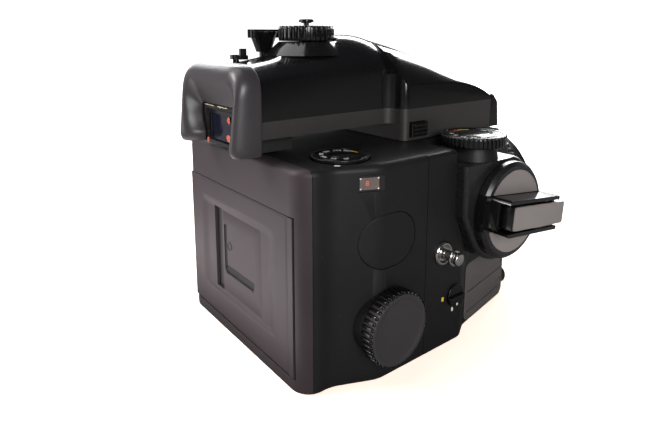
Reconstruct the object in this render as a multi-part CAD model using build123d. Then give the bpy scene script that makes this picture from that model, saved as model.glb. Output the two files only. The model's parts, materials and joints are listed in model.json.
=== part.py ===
from build123d import *
import os
from math import cos, pi, radians, sin

os.makedirs("parts", exist_ok=True)

# Medium format reflex camera with a film magazine at the rear, a prism finder on
# top and a lens in front. Millimetres. X points to the photographer's left, Y to the
# rear, Z up. The origin is the mouth of the tripod socket in the flat base.

# Body
body_half_width = 52.0
body_height = 80.0
body_front_y = -44.0
side_straight_y = 4.0
grip_start_y = -4.0
grip_start_inset = 4.6
front_half_width = 39.6
front_corner_radius = 5.5
side_bend_radius = 6.0
edge_radius = 1.8
body_wall = 3.0
shoulder_drop = 6.0
shoulder_half_width = 33.0
shoulder_rear_y = 10.0

# Seams and fits
seam_y = 26.0
seam_gap = 0.3
shell_gap = 0.3
loose_gap = 0.3
running_clearance = 0.06
cut_reach = 200.0

# Mirror chamber
lens_axis_offset = 1.3
chamber_half_width = 34.0
chamber_front_y = -41.0
chamber_floor_z = 9.0
liner_wall = 1.5
liner_gap = 2.0
screen_drop = 5.0
throat_radius = 27.0
frame_width = 56.0
frame_height = 41.5
screen_thickness = 1.7
screen_half_width = 31.4
screen_hole_half_width = 27.5
screen_front_y = -36.0
screen_rear_y = 14.0
mirror_length = 51.0
mirror_width = 54.0
mirror_thickness = 2.0
carrier_thickness = 1.6
mirror_hinge_y = 15.0
mirror_hinge_drop = 6.5
mirror_pin_radius = 1.5
shutter_frame_thickness = 0.9
curtain_thickness = 0.25
curtain_gap = 1.5
roller_radius = 2.0
roller_pin_radius = 0.8
low_roller_rise = 5.7
high_roller_drop = 8.3

# Base
base_plate_thickness = 2.0
base_plate_side_gap = 1.3
base_plate_half_depth = 18.0
socket_bore_radius = 2.6
socket_outer_radius = 7.0
socket_depth = 6.0
screw_head_radius = 2.2
screw_head_depth = 1.2

# Strap lugs
lug_y = 16.6
lug_z = 40.4
lug_base_radius = 4.8
lug_base_thickness = 1.4
lug_neck_radius = 2.1
lug_neck_length = 4.0
lug_flange_radius = 3.3
lug_flange_thickness = 1.0
lug_cap_radius = 2.5
lug_length = 8.6

# Grip panels
grip_thickness = 1.4
grip_inset = 1.2
grip_height = 26.0
grip_bottom_z = 1.8
grip_groove_depth = 0.7
grip_groove_height = 4.9
grip_groove_spacing = 9.1
grip_groove_middle_z = 12.2
grip_groove_length = 35.8
grip_length = 37.6
grip_setback = 0.9
grip_corner_radius = 3.0

# Crank
crank_y = -14.9
crank_drop = 20.8
crank_rest_tilt = 6.8
crank_disc_radius = 19.9
crank_disc_thickness = 4.2
crank_disc_chamfer = 1.3
crank_shaft_radius = 4.0
crank_shaft_length = 18.0
housing_stand = 5.0
housing_rim = 2.0
housing_shelf = 3.1
housing_corner_rise = 0.8
housing_edge_radius = 1.8
housing_inner_x = 36.0
arm_rear = 16.5
arm_front = 18.7
arm_half_width = 7.1
arm_depth = 8.5
arm_lip = 1.5
arm_floor = 2.0
arm_end_wall = 3.8
arm_slot_start = 13.0
handle_rear = 13.6
handle_front = 22.4
handle_side_gap = 0.8
handle_low = 2.9
handle_high = 8.9
handle_pin_radius = 1.0
handle_pin_along = 17.0
handle_pin_height = 6.2
handle_heel_chamfer = 1.6

# Shutter dial
dial_inset = 4.9
dial_y = -5.8
dial_radius = 13.0
dial_height = 4.5
dial_lift = 5.6
dial_stem_radius = 3.0
dial_stem_depth = 8.0
collar_foot_radius = 10.0
collar_top_radius = 9.0
dial_teeth = 44
tooth_depth = 0.45

# Front controls
multi_lever_y = 8.4
multi_lever_z = 20.6
multi_disc_radius = 4.6
multi_disc_thickness = 1.6
multi_dish_depth = 1.0
release_inset = 19.5
release_z = 5.9
release_collar_radius = 4.5
release_collar_length = 5.5
release_button_radius = 2.8
release_travel = 2.0
lens_release_x = 32.0
lens_release_z = 11.5
lens_release_radius = 3.2
lens_release_length = 2.6
lens_release_travel = 1.6

# Battery
battery_radius = 6.6
battery_length = 25.2
battery_y = 13.0
battery_inset = 8.7
battery_door_radius = 8.0
battery_door_thickness = 2.0

# Lens
front_plate_thickness = 1.5
front_plate_half_width = 33.8
front_plate_bottom_z = 6.0
front_plate_drop = 3.0
mount_ring_radius = 30.4
mount_ring_thickness = 2.0
lens_tube_outer_radius = 24.6
lens_tube_inner_radius = 22.2
lens_flange_radius = 30.4
lens_flange_thickness = 3.6
bayonet_length = 7.0
aperture_ring_radius = 29.8
aperture_ring_width = 8.2
focus_ring_radius = 31.4
focus_ring_width = 15.6
bezel_radius = 30.3
bezel_length = 4.6
filter_thread_radius = 28.5
filter_thread_depth = 3.0
barrel_wall = 2.2
front_glass_thickness = 7.0
rear_glass_thickness = 5.0
glass_curve_radius = 60.0
iris_opening_radius = 8.0

# Finder, with heights measured from its own base
finder_half_width = 29.5
finder_seam_z = 13.0
finder_rear_y = 16.0
finder_cap_y = -41.0
finder_cap_depth = 7.5
finder_wall = 2.6
finder_corner_radius = 3.0
finder_cove_radius = 4.5
cove_top_z = 26.7
finder_cap_top_z = 17.7
finder_roof_corner = 1.6
tunnel_half_width = 21.5
tunnel_bottom_z = 6.7
tunnel_end_y = 78.0
tunnel_end_z = 31.3
tunnel_cavity_top_z = 24.7
prism_half_width = 22.5
prism_front_y = -31.0
prism_rear_y = 12.0
prism_ridge_z = 29.7
prism_shoulder_z = 14.7
eyepiece_half_width = 19.5
eyepiece_thickness = 2.4
eyepiece_bottom_z = 1.2
eyepiece_top_z = 17.5
eyepiece_window_half_width = 11.2
eyepiece_window_bottom_z = 2.6
eyepiece_window_top_z = 13.5
eyepiece_box_half_width = 17.5
eyepiece_box_length = 16.0
eyepiece_box_wall = 1.2
eyecup_half_width = 24.0
eyecup_low_depth = 11.6
eyecup_high_depth = 8.4
eyecup_bottom_z = 1.2
eyecup_top_z = 32.7
eyecup_corner_radius = 7.0
eyecup_foot_radius = 4.0
eyecup_rim_radius = 2.5
eyecup_opening_half_width = 12.5
eyecup_opening_top_z = 17.4
eyecup_dish_half_width = 17.0
eyecup_dish_top_z = 28.7
eyecup_dish_low_depth = 6.0
eyecup_dish_high_depth = 9.2
comp_dial_y = 42.8
comp_dial_radius = 11.2
comp_dial_height = 6.0
comp_dial_teeth = 36
comp_dial_bottom_z = 40.1
pedestal_radius = 17.0
pedestal_bottom_z = 35.7
lock_button_radius = 3.0
lock_button_height = 1.6
lock_button_travel = 1.0
lock_pin_radius = 1.1
selector_x = 14.5
selector_y = 54.2
selector_radius = 6.0
selector_foot_radius = 3.0
selector_height = 8.6
selector_stem_radius = 1.8
selector_seat_z = 35.3
selector_arm_length = 8.5
blind_lever_x = 9.0
blind_lever_y = 70.0
blind_lever_length = 7.0
blind_seat_z = 33.0
blind_stem_radius = 1.2
finder_button_y = 7.9
finder_button_width = 9.4
finder_button_bottom_z = 1.5
finder_button_top_z = 7.3
finder_button_depth = 3.0
finder_button_travel = 1.5

# Finder roof stations from front to rear, each with its shoulder and crown heights
# above the finder's base
wide_roof = [
    (finder_cap_y, 15.1, 18.3),
    (-24.0, 21.2, 26.7),
    (-7.0, 22.7, 34.5),
    (6.0, 22.7, 38.5),
    (finder_rear_y, 22.2, 40.9),
]
tunnel_roof = [
    (finder_rear_y - 1.0, 27.7, 40.7),
    (27.0, 30.2, 42.5),
    (36.0, 30.2, 41.2),
    (54.3, 29.2, 36.1),
    (64.0, 28.2, 33.9),
    (tunnel_end_y, 26.7, 31.7),
]

# Magazine
magazine_depth = 51.0
magazine_rise = 0.3
magazine_wall = 3.0
interior_gap = 1.5
magazine_edge_radius = 2.6
cover_inset = 7.0
cover_depth = 4.6
cover_corner_radius = 8.0
flare_front_y = 49.0
flare_rear_y = 65.0
flare_radius = 14.0
door_left_inset = 4.4
door_right_inset = 9.0
door_bottom_z = 5.6
door_top_z = 63.6
door_thickness = 2.9
door_gap = 0.4
door_hinge_inset = 7.5
door_barrel_radius = 1.3
door_pin_radius = 0.6
hinge_groove_radius = 2.1
hinge_pin_hold = 2.2
dish_left_x = 27.0
dish_right_x = -22.0
dish_bottom_z = 16.0
dish_top_z = 56.4
dish_depth = 1.5
memo_left_x = 20.0
memo_right_x = -17.0
memo_bottom_z = 17.8
memo_top_z = 52.8
memo_thickness = 1.2
memo_slot_width = 6.6
memo_window_left_x = 9.3
memo_window_right_x = -13.3
memo_window_bottom_z = 26.2
memo_window_top_z = 47.1
latch_z = 34.0
latch_height = 12.0
latch_thickness = 1.8
window_y = 52.3
window_drop = 6.4
window_width = 9.2
window_height = 5.4
window_thickness = 1.0
thumb_y = 44.4
thumb_z = 52.4
thumb_length = 24.4
thumb_height = 19.6
thumb_thickness = 1.2
iso_inset = 1.0
iso_y = 54.0
iso_radius = 10.5
iso_height = 3.6
iso_proud = 1.4
iso_teeth = 40
iso_stem_radius = 2.5
iso_bore_depth = 8.0
knob_y = 45.5
knob_z = 21.8
knob_radius = 13.9
knob_length = 5.6
knob_teeth = 40
knob_tooth_depth = 0.7
knob_shaft_radius = 2.4
knob_seat_radius = 12.6
knob_seat_height = 0.9
knob_dish_radius = 60.0
spool_gap = 0.5
spool_flange_radius = 12.4
spool_core_radius = 6.0
spool_half_length = 32.7
spool_flange_thickness = 1.2
spool_pin_radius = 2.4
spool_pin_length = 5.0
insert_half_width = 36.5
insert_plate = 1.6
insert_front_y = 31.0
insert_rear_y = 70.0
insert_bottom_z = 5.0
insert_drop = 5.9
pressure_plate_thickness = 1.2
pressure_plate_half_width = 31.0
backing_half_height = 16.5
dark_slide_thickness = 0.5
dark_slide_half_height = 26.0
dark_slide_right_x = -32.0
dark_slide_handle = 6.0
dark_slide_handle_thickness = 2.4
dark_slide_handle_inset = 3.0
dark_slide_corner_radius = 2.0
slide_handle_overlap = 1.0
dark_slide_y = 28.0

# Sizes that follow from those above
grip_start_half_width = body_half_width - grip_start_inset
shoulder_height = body_height - shoulder_drop
magazine_height = body_height + magazine_rise
magazine_rear_y = seam_y + magazine_depth
cover_half_width = body_half_width - cover_inset
cover_front_y = magazine_rear_y - cover_depth
body_rear_y = seam_y - seam_gap
chamber_top_z = body_height - body_wall
chamber_rear_y = body_rear_y - body_wall
lens_axis_z = (chamber_floor_z + chamber_top_z) / 2 - lens_axis_offset
screen_bottom_z = body_height - screen_drop
mirror_hinge_z = screen_bottom_z - mirror_hinge_drop
liner_half_width = chamber_half_width - liner_gap
crank_z = shoulder_height - crank_drop
housing_face_x = body_half_width + housing_stand
dial_x = dial_inset - body_half_width
dial_bottom_z = shoulder_height + dial_lift
release_x = release_inset - body_half_width
battery_x = body_half_width - battery_inset
base_plate_half_width = battery_x - battery_door_radius - base_plate_side_gap
front_plate_top_z = body_height - front_plate_drop
interior_half_width = insert_half_width + interior_gap
door_left_x = cover_half_width - door_left_inset
door_right_x = door_right_inset - cover_half_width
door_hinge_x = door_hinge_inset - cover_half_width
window_z = magazine_height - window_drop
iso_x = iso_inset - insert_half_width
insert_top_z = magazine_height - insert_drop
supply_z = insert_top_z - insert_plate - spool_flange_radius - spool_gap
hinge_y = magazine_rear_y - door_barrel_radius
disc_face_x = -(housing_face_x + loose_gap + crank_disc_thickness)


def block(x_low, x_high, y_low, y_high, z_low, z_high):
    size = (x_high - x_low, y_high - y_low, z_high - z_low)
    middle = ((x_low + x_high) / 2, (y_low + y_high) / 2, (z_low + z_high) / 2)
    return Pos(*middle) * Box(*size)


def rod_x(radius, x_low, x_high, y, z):
    return Pos((x_low + x_high) / 2, y, z) * Rot(0, 90, 0) * Cylinder(radius, x_high - x_low)


def rod_y(radius, y_low, y_high, x, z):
    return Pos(x, (y_low + y_high) / 2, z) * Rot(90, 0, 0) * Cylinder(radius, y_high - y_low)


def rod_z(radius, z_low, z_high, x, y):
    return Pos(x, y, (z_low + z_high) / 2) * Cylinder(radius, z_high - z_low)


def lens_ring(outer_radius, inner_radius, y_front, y_rear):
    outer = rod_y(outer_radius, y_front, y_rear, 0, lens_axis_z)
    return outer - rod_y(inner_radius, y_front - 1, y_rear + 1, 0, lens_axis_z)


def rounded_face(points, radii):
    face = make_face(Polyline(*points, close=True))
    for point, radius in zip(points, radii):
        if radius > 0:
            corner = face.vertices().sort_by_distance(Vector(*point))[0]
            face = fillet(corner, radius)
    return face


def mirrored_outline(points, radii):
    other_side = [(-x, y) for x, y in reversed(points)]
    return rounded_face(points + other_side, radii + list(reversed(radii)))


def rim_edges(solid, height):
    return solid.edges().filter_by_position(Axis.Z, height, height)


def side_profile(points, half_width):
    face = Plane.YZ * make_face(Polyline(*points, close=True))
    return extrude(face, half_width, both=True)


def toothed_disc(radius, height, teeth, depth):
    notch_radius = 0.3 * 2 * pi * radius / teeth
    notch_circle = radius + notch_radius - depth
    notches = [
        Pos(notch_circle * cos(angle), notch_circle * sin(angle), 0) * Cylinder(notch_radius, height + 1)
        for angle in [2 * pi * turn / teeth for turn in range(teeth)]
    ]
    return Cylinder(radius, height) - notches


def body_block():
    points = [
        (-body_half_width, body_rear_y),
        (-body_half_width, side_straight_y),
        (-grip_start_half_width, grip_start_y),
        (-front_half_width, body_front_y),
    ]
    radii = [0, side_bend_radius, side_bend_radius, front_corner_radius]
    solid = extrude(mirrored_outline(points, radii), body_height)
    rims = rim_edges(solid, 0) + rim_edges(solid, body_height)
    solid = fillet([rim for rim in rims if rim.center().Y < body_rear_y - 0.01], edge_radius)
    return solid - block(
        -body_half_width - 1,
        -shoulder_half_width,
        body_front_y - 1,
        shoulder_rear_y,
        shoulder_height,
        body_height + 1,
    )


def body_chamber():
    chamber = block(
        -chamber_half_width,
        chamber_half_width,
        chamber_front_y,
        chamber_rear_y,
        chamber_floor_z,
        chamber_top_z,
    )
    screen_hole = block(
        -screen_hole_half_width,
        screen_hole_half_width,
        screen_front_y,
        screen_rear_y,
        chamber_top_z - 1,
        body_height + 1,
    )
    gate = block(
        -frame_width / 2 - 2,
        frame_width / 2 + 2,
        chamber_rear_y - 1,
        body_rear_y + 1,
        lens_axis_z - frame_height / 2 - 2,
        lens_axis_z + frame_height / 2 + 2,
    )
    throat = rod_y(throat_radius, body_front_y - 1, chamber_front_y + 1, 0, lens_axis_z)
    return [chamber, screen_hole, gate, throat]


def control_bores():
    dial_stem = rod_z(
        dial_stem_radius + running_clearance, shoulder_height - dial_stem_depth, body_height, dial_x, dial_y
    )
    crank_shaft = rod_x(
        crank_shaft_radius + running_clearance,
        disc_face_x,
        disc_face_x + crank_disc_thickness + crank_shaft_length + loose_gap,
        crank_y,
        crank_z,
    )
    return [dial_stem, crank_shaft]


def make_body(parts):
    base_pocket = block(
        -base_plate_half_width - 0.1,
        base_plate_half_width + 0.1,
        -base_plate_half_depth - 0.1,
        base_plate_half_depth + 0.1,
        -1,
        base_plate_thickness,
    )
    socket_pocket = rod_z(socket_outer_radius + running_clearance, 0, socket_depth, 0, 0)
    battery_bore = rod_z(
        battery_radius + loose_gap,
        0,
        battery_door_thickness + battery_length + 2 * loose_gap,
        battery_x,
        battery_y,
    )
    door_bore = rod_z(
        battery_door_radius + running_clearance,
        -1,
        battery_door_thickness + loose_gap,
        battery_x,
        battery_y,
    )
    release_bore = rod_y(
        release_button_radius / 2 + loose_gap,
        body_front_y - 1,
        body_front_y + 2 * release_travel,
        release_x,
        release_z,
    )
    lens_release_bore = rod_y(
        lens_release_radius + loose_gap,
        body_front_y - front_plate_thickness - 1,
        body_front_y + lens_release_length,
        lens_release_x,
        lens_release_z,
    )
    lever_bore = rod_x(
        multi_disc_radius / 2 + running_clearance,
        -body_half_width - 1,
        -body_half_width + 4,
        multi_lever_y,
        multi_lever_z,
    )
    parts["body_shell"] = (
        body_block()
        - body_chamber()
        - control_bores()
        - [base_pocket, socket_pocket, battery_bore, door_bore]
        - [release_bore, lens_release_bore, lever_bore]
        - grip_pockets()
    )
    plate_screws = [
        (side * (base_plate_half_width - 5), end * (base_plate_half_depth - 5))
        for side in (-1, 1)
        for end in (-1, 1)
    ]
    screw_holes = [
        rod_z(screw_head_radius + 0.1, -1, screw_head_depth, x, y) for x, y in plate_screws
    ]
    plate = block(
        -base_plate_half_width,
        base_plate_half_width,
        -base_plate_half_depth,
        base_plate_half_depth,
        0,
        base_plate_thickness,
    )
    parts["base_plate"] = plate - screw_holes - rod_z(
        socket_outer_radius + running_clearance, -1, base_plate_thickness + 1, 0, 0
    )
    parts["base_screws"] = Compound(
        children=[rod_z(screw_head_radius, 0.1, screw_head_depth, x, y) for x, y in plate_screws]
    )
    parts["tripod_socket"] = rod_z(socket_outer_radius, 0, socket_depth, 0, 0) - rod_z(
        socket_bore_radius, -1, socket_depth - 0.5, 0, 0
    )
    parts["battery"] = rod_z(
        battery_radius,
        battery_door_thickness + loose_gap,
        battery_door_thickness + loose_gap + battery_length,
        battery_x,
        battery_y,
    )
    coin_slot = block(
        battery_x - 5, battery_x + 5, battery_y - 0.8, battery_y + 0.8, -1, 0.9
    )
    parts["battery_door"] = (
        rod_z(battery_door_radius, 0, battery_door_thickness, battery_x, battery_y) - coin_slot
    )


def make_mirror_chamber(parts):
    liner_rear_y = mirror_hinge_y + 2
    liner_front_y = chamber_front_y + 0.5
    liner = block(
        -liner_half_width,
        liner_half_width,
        liner_front_y,
        liner_rear_y,
        chamber_floor_z,
        screen_bottom_z,
    )
    liner_space = block(
        liner_wall - liner_half_width,
        liner_half_width - liner_wall,
        liner_front_y - 1,
        liner_rear_y + 1,
        chamber_floor_z + liner_wall,
        screen_bottom_z + 1,
    )
    pin_bore = rod_x(
        mirror_pin_radius + running_clearance,
        -liner_half_width - 1,
        liner_half_width + 1,
        mirror_hinge_y,
        mirror_hinge_z,
    )
    parts["mirror_box"] = liner - liner_space - pin_bore
    parts["focusing_screen"] = block(
        -screen_half_width,
        screen_half_width,
        screen_front_y,
        screen_rear_y,
        screen_bottom_z,
        screen_bottom_z + screen_thickness,
    )
    mirror_plane = Plane(
        origin=(0, mirror_hinge_y, mirror_hinge_z),
        x_dir=(0, -cos(radians(45)), -sin(radians(45))),
        z_dir=(0, -sin(radians(45)), cos(radians(45))),
    )
    carrier = block(
        0,
        mirror_length,
        -mirror_width / 2,
        mirror_width / 2,
        -carrier_thickness / 2,
        carrier_thickness / 2,
    )
    pin = rod_x(mirror_pin_radius, -liner_half_width, liner_half_width, mirror_hinge_y, mirror_hinge_z)
    parts["mirror_carrier"] = mirror_plane * carrier + pin
    glass = block(
        3,
        mirror_length,
        -mirror_width / 2,
        mirror_width / 2,
        carrier_thickness / 2,
        carrier_thickness / 2 + mirror_thickness,
    )
    parts["reflex_mirror"] = mirror_plane * glass


def make_shutter(parts):
    frame_front_y = mirror_hinge_y + 2.2
    frame_rear_y = chamber_rear_y - 0.1
    cheek_outer = chamber_half_width - 0.2
    cheek_inner = liner_half_width
    roller_heights = [chamber_floor_z + low_roller_rise, chamber_top_z - high_roller_drop]
    low_z = roller_heights[0] - roller_radius - 0.6
    high_z = roller_heights[1] + roller_radius + 0.6
    frame = block(-cheek_outer, cheek_outer, frame_front_y, frame_rear_y, low_z, high_z) - block(
        -cheek_inner,
        cheek_inner,
        frame_front_y + shutter_frame_thickness,
        frame_rear_y + 1,
        low_z - 1,
        high_z + 1,
    )
    window = block(
        -frame_width / 2 - 1,
        frame_width / 2 + 1,
        frame_front_y - 1,
        frame_rear_y + 1,
        lens_axis_z - frame_height / 2 - 1,
        lens_axis_z + frame_height / 2 + 1,
    )
    roller_y = frame_front_y + shutter_frame_thickness + curtain_thickness + roller_radius + 0.2
    pin_bores = [
        rod_x(roller_pin_radius + running_clearance, -cheek_outer - 1, cheek_outer + 1, roller_y, z)
        for z in roller_heights
    ]
    parts["shutter_frame"] = frame - window - pin_bores
    parts["shutter_rollers"] = Compound(
        children=[
            rod_x(roller_radius, -cheek_inner + 0.3, cheek_inner - 0.3, roller_y, z)
            + rod_x(roller_pin_radius, -cheek_outer, cheek_outer, roller_y, z)
            for z in roller_heights
        ]
    )
    curtain_y = frame_front_y + shutter_frame_thickness + 0.1
    parts["shutter_curtain"] = block(
        -cheek_inner + curtain_gap,
        cheek_inner - curtain_gap,
        curtain_y,
        curtain_y + curtain_thickness,
        roller_heights[0],
        roller_heights[1],
    )


def strap_lug(side):
    face = body_half_width
    base = rod_x(lug_base_radius, face, face + lug_base_thickness, lug_y, lug_z)
    neck = rod_x(lug_neck_radius, face, face + lug_length - 1, lug_y, lug_z)
    flange_start = face + lug_base_thickness + lug_neck_length
    flange = rod_x(
        lug_flange_radius, flange_start, flange_start + lug_flange_thickness, lug_y, lug_z
    )
    cap = rod_x(lug_cap_radius, face + lug_length - 1.6, face + lug_length, lug_y, lug_z)
    lug = base + neck + flange + cap
    return lug if side > 0 else mirror(lug, Plane.YZ)


def grip_wall(lift):
    along = Vector(
        front_half_width - grip_start_half_width, body_front_y - grip_start_y, 0
    ).normalized()
    outward = Vector(-along.Y, along.X, 0)
    corner = Vector(grip_start_half_width, grip_start_y, 0)
    place = corner + along * (grip_setback + grip_length / 2) + outward * lift
    return Plane(origin=place, x_dir=-along, z_dir=outward)


def grip_slab(growth):
    slab = Pos(0, grip_bottom_z + grip_height / 2, grip_thickness / 2 - grip_inset) * Box(
        grip_length + 2 * growth, grip_height + 2 * growth, grip_thickness
    )
    return fillet(slab.edges().filter_by(Axis.Z), grip_corner_radius)


def grip_panel(side):
    grooves = [
        Pos(0, grip_groove_middle_z + offset, grip_thickness - grip_inset - grip_groove_depth)
        * extrude(SlotOverall(grip_groove_length, grip_groove_height), grip_thickness)
        for offset in (-grip_groove_spacing / 2, grip_groove_spacing / 2)
    ]
    solid = grip_wall(0) * (grip_slab(0) - grooves)
    return solid if side > 0 else mirror(solid, Plane.YZ)


def grip_pockets():
    pocket = grip_wall(0) * grip_slab(0.1)
    return [pocket, mirror(pocket, Plane.YZ)]


def make_side_pieces(parts):
    parts["strap_lugs"] = Compound(children=[strap_lug(1), strap_lug(-1)])
    drum_clearance = rod_x(
        crank_disc_radius + housing_rim + loose_gap,
        -body_half_width - 5,
        0,
        crank_y,
        crank_z,
    )
    parts["grip_panels"] = Compound(children=[grip_panel(1), grip_panel(-1) - drum_clearance])


def crank_housing_block():
    radius = crank_disc_radius + housing_rim
    corner_low = crank_z + housing_corner_rise
    corner_high = shoulder_height + housing_edge_radius
    drum = Pos(crank_y, crank_z) * Circle(radius)
    corner = Pos(crank_y + (radius + housing_shelf) / 2, (corner_low + corner_high) / 2) * Rectangle(
        radius + housing_shelf, corner_high - corner_low
    )
    outline = make_hull(drum.edges() + corner.edges())
    housing = extrude(Plane.YZ * outline, -housing_face_x)
    return fillet(housing.faces().sort_by(Axis.X)[0].edges(), housing_edge_radius)


def make_crank(parts):
    above_shelf = block(-cut_reach, 0, -cut_reach, cut_reach, shoulder_height, cut_reach)
    inner_side = block(-housing_inner_x, cut_reach, -cut_reach, cut_reach, 0, cut_reach)
    parts["crank_housing"] = (
        crank_housing_block() - above_shelf - inner_side - body_block() - control_bores()
    )
    disc = rod_x(
        crank_disc_radius, disc_face_x, disc_face_x + crank_disc_thickness, crank_y, crank_z
    )
    disc = chamfer(disc.edges().sort_by(Axis.X)[0], crank_disc_chamfer)
    tilt = radians(crank_rest_tilt)
    disc_plane = Plane(
        origin=(disc_face_x, crank_y, crank_z), x_dir=(0, -cos(tilt), -sin(tilt)), z_dir=(-1, 0, 0)
    )
    heel = block(
        -crank_disc_radius,
        arm_lip - arm_rear,
        -arm_half_width,
        arm_half_width,
        -crank_disc_thickness,
        0,
    )
    rim = Pos(0, 0, -crank_disc_thickness / 2) * Cylinder(crank_disc_radius, crank_disc_thickness)
    shaft = rod_x(
        crank_shaft_radius,
        disc_face_x + 0.5,
        disc_face_x + crank_disc_thickness + crank_shaft_length,
        crank_y,
        crank_z,
    )
    parts["crank_hub"] = disc - disc_plane * heel + shaft
    arm = block(-arm_rear, arm_front, -arm_half_width, arm_half_width, 0, arm_depth)
    arm = fillet(arm.edges().filter_by(Axis.Z).group_by(Axis.X)[0], 2.2)
    arm = fillet(arm.edges().filter_by(Axis.Z).group_by(Axis.X)[-1], 0.8)
    channel_half = arm_half_width - arm_lip
    channel = block(
        arm_lip - arm_rear, arm_front + 1, -channel_half, channel_half, arm_floor, arm_depth + 1
    )
    low_end = block(
        -arm_rear - 1, 0, -channel_half, channel_half, arm_end_wall, arm_depth + 1
    )
    tip_slot = block(
        arm_slot_start, arm_front + 1, -channel_half, channel_half, -1, arm_depth + 1
    )
    pin_place = Pos(handle_pin_along, 0, handle_pin_height) * Rot(90, 0, 0)
    pin_bore = pin_place * Cylinder(handle_pin_radius + running_clearance, 2 * arm_half_width + 2)
    parts["crank_arm"] = disc_plane * (arm + (heel & rim) - channel - low_end - tip_slot - pin_bore)
    handle_half = channel_half - handle_side_gap
    handle = block(
        -handle_rear, handle_front, -handle_half, handle_half, handle_low, handle_high
    )
    heel = handle.edges().filter_by(Axis.Y).group_by(Axis.X)[-1].sort_by(Axis.Z)[0]
    handle = chamfer(heel, handle_heel_chamfer)
    handle = fillet(handle.faces().sort_by(Axis.Z)[-1].edges(), 0.4)
    pin = pin_place * Cylinder(handle_pin_radius, 2 * arm_half_width)
    parts["crank_handle"] = disc_plane * (handle + pin)


def make_dial_and_levers(parts):
    foot_z = shoulder_height
    top_z = dial_bottom_z - loose_gap
    collar = Pos(dial_x, dial_y, (foot_z + top_z) / 2) * Cone(
        collar_foot_radius, collar_top_radius, top_z - foot_z
    )
    parts["dial_collar"] = collar - control_bores()
    dial = toothed_disc(dial_radius, dial_height, dial_teeth, tooth_depth)
    dial = Pos(dial_x, dial_y, dial_bottom_z + dial_height / 2) * dial
    stem = rod_z(
        dial_stem_radius,
        shoulder_height - dial_stem_depth + loose_gap,
        dial_bottom_z + 1,
        dial_x,
        dial_y,
    )
    parts["shutter_dial"] = dial + stem
    face = -body_half_width
    disc = rod_x(
        multi_disc_radius, face - 0.2 - multi_disc_thickness, face - 0.2, multi_lever_y, multi_lever_z
    )
    stem = rod_x(multi_disc_radius / 2, face - 0.5, face + 3.7, multi_lever_y, multi_lever_z)
    upper_half = block(
        face - 10,
        face - 0.2 - multi_disc_thickness + multi_dish_depth,
        multi_lever_y - 10,
        multi_lever_y + 10,
        multi_lever_z,
        multi_lever_z + 10,
    )
    parts["multi_exposure_lever"] = disc - upper_half + stem
    collar = rod_y(
        release_collar_radius,
        body_front_y - 0.2 - release_collar_length,
        body_front_y - 0.2,
        release_x,
        release_z,
    )
    pocket = rod_y(
        release_button_radius + loose_gap,
        body_front_y - 1 - release_collar_length,
        body_front_y - 1.6,
        release_x,
        release_z,
    )
    stem_bore = rod_y(
        release_button_radius / 2 + loose_gap,
        body_front_y - 1 - release_collar_length,
        body_front_y + 1,
        release_x,
        release_z,
    )
    parts["release_lock_collar"] = collar - pocket - stem_bore
    button_front = body_front_y - 0.2 - release_collar_length - 0.4
    button = rod_y(
        release_button_radius,
        button_front,
        body_front_y - 1.6 - release_travel - 0.4,
        release_x,
        release_z,
    )
    button = fillet(button.edges().sort_by(Axis.Y)[0], 0.8)
    stem = rod_y(
        release_button_radius / 2, button_front + 1, body_front_y + release_travel - 0.4, release_x, release_z
    )
    parts["release_button"] = button + stem
    button = rod_y(
        lens_release_radius,
        body_front_y - front_plate_thickness - lens_release_travel,
        body_front_y + lens_release_length - lens_release_travel - loose_gap,
        lens_release_x,
        lens_release_z,
    )
    parts["lens_release_button"] = fillet(button.edges().sort_by(Axis.Y)[0], 0.7)


def make_front(parts):
    plate_front_y = body_front_y - front_plate_thickness
    plate = block(
        -front_plate_half_width,
        front_plate_half_width,
        plate_front_y,
        body_front_y,
        front_plate_bottom_z,
        front_plate_top_z,
    )
    plate = fillet(plate.edges().filter_by(Axis.Y), 4)
    ring_hole = rod_y(
        mount_ring_radius + 0.1, plate_front_y - 1, body_front_y + 1, 0, lens_axis_z
    )
    collar_hole = rod_y(
        release_collar_radius + loose_gap, plate_front_y - 1, body_front_y + 1, release_x, release_z
    )
    button_hole = rod_y(
        lens_release_radius + loose_gap,
        plate_front_y - 1,
        body_front_y + 1,
        lens_release_x,
        lens_release_z,
    )
    parts["front_plate"] = plate - ring_hole - collar_hole - button_hole
    parts["lens_mount_ring"] = lens_ring(
        mount_ring_radius, throat_radius, body_front_y - mount_ring_thickness, body_front_y
    )


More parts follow.
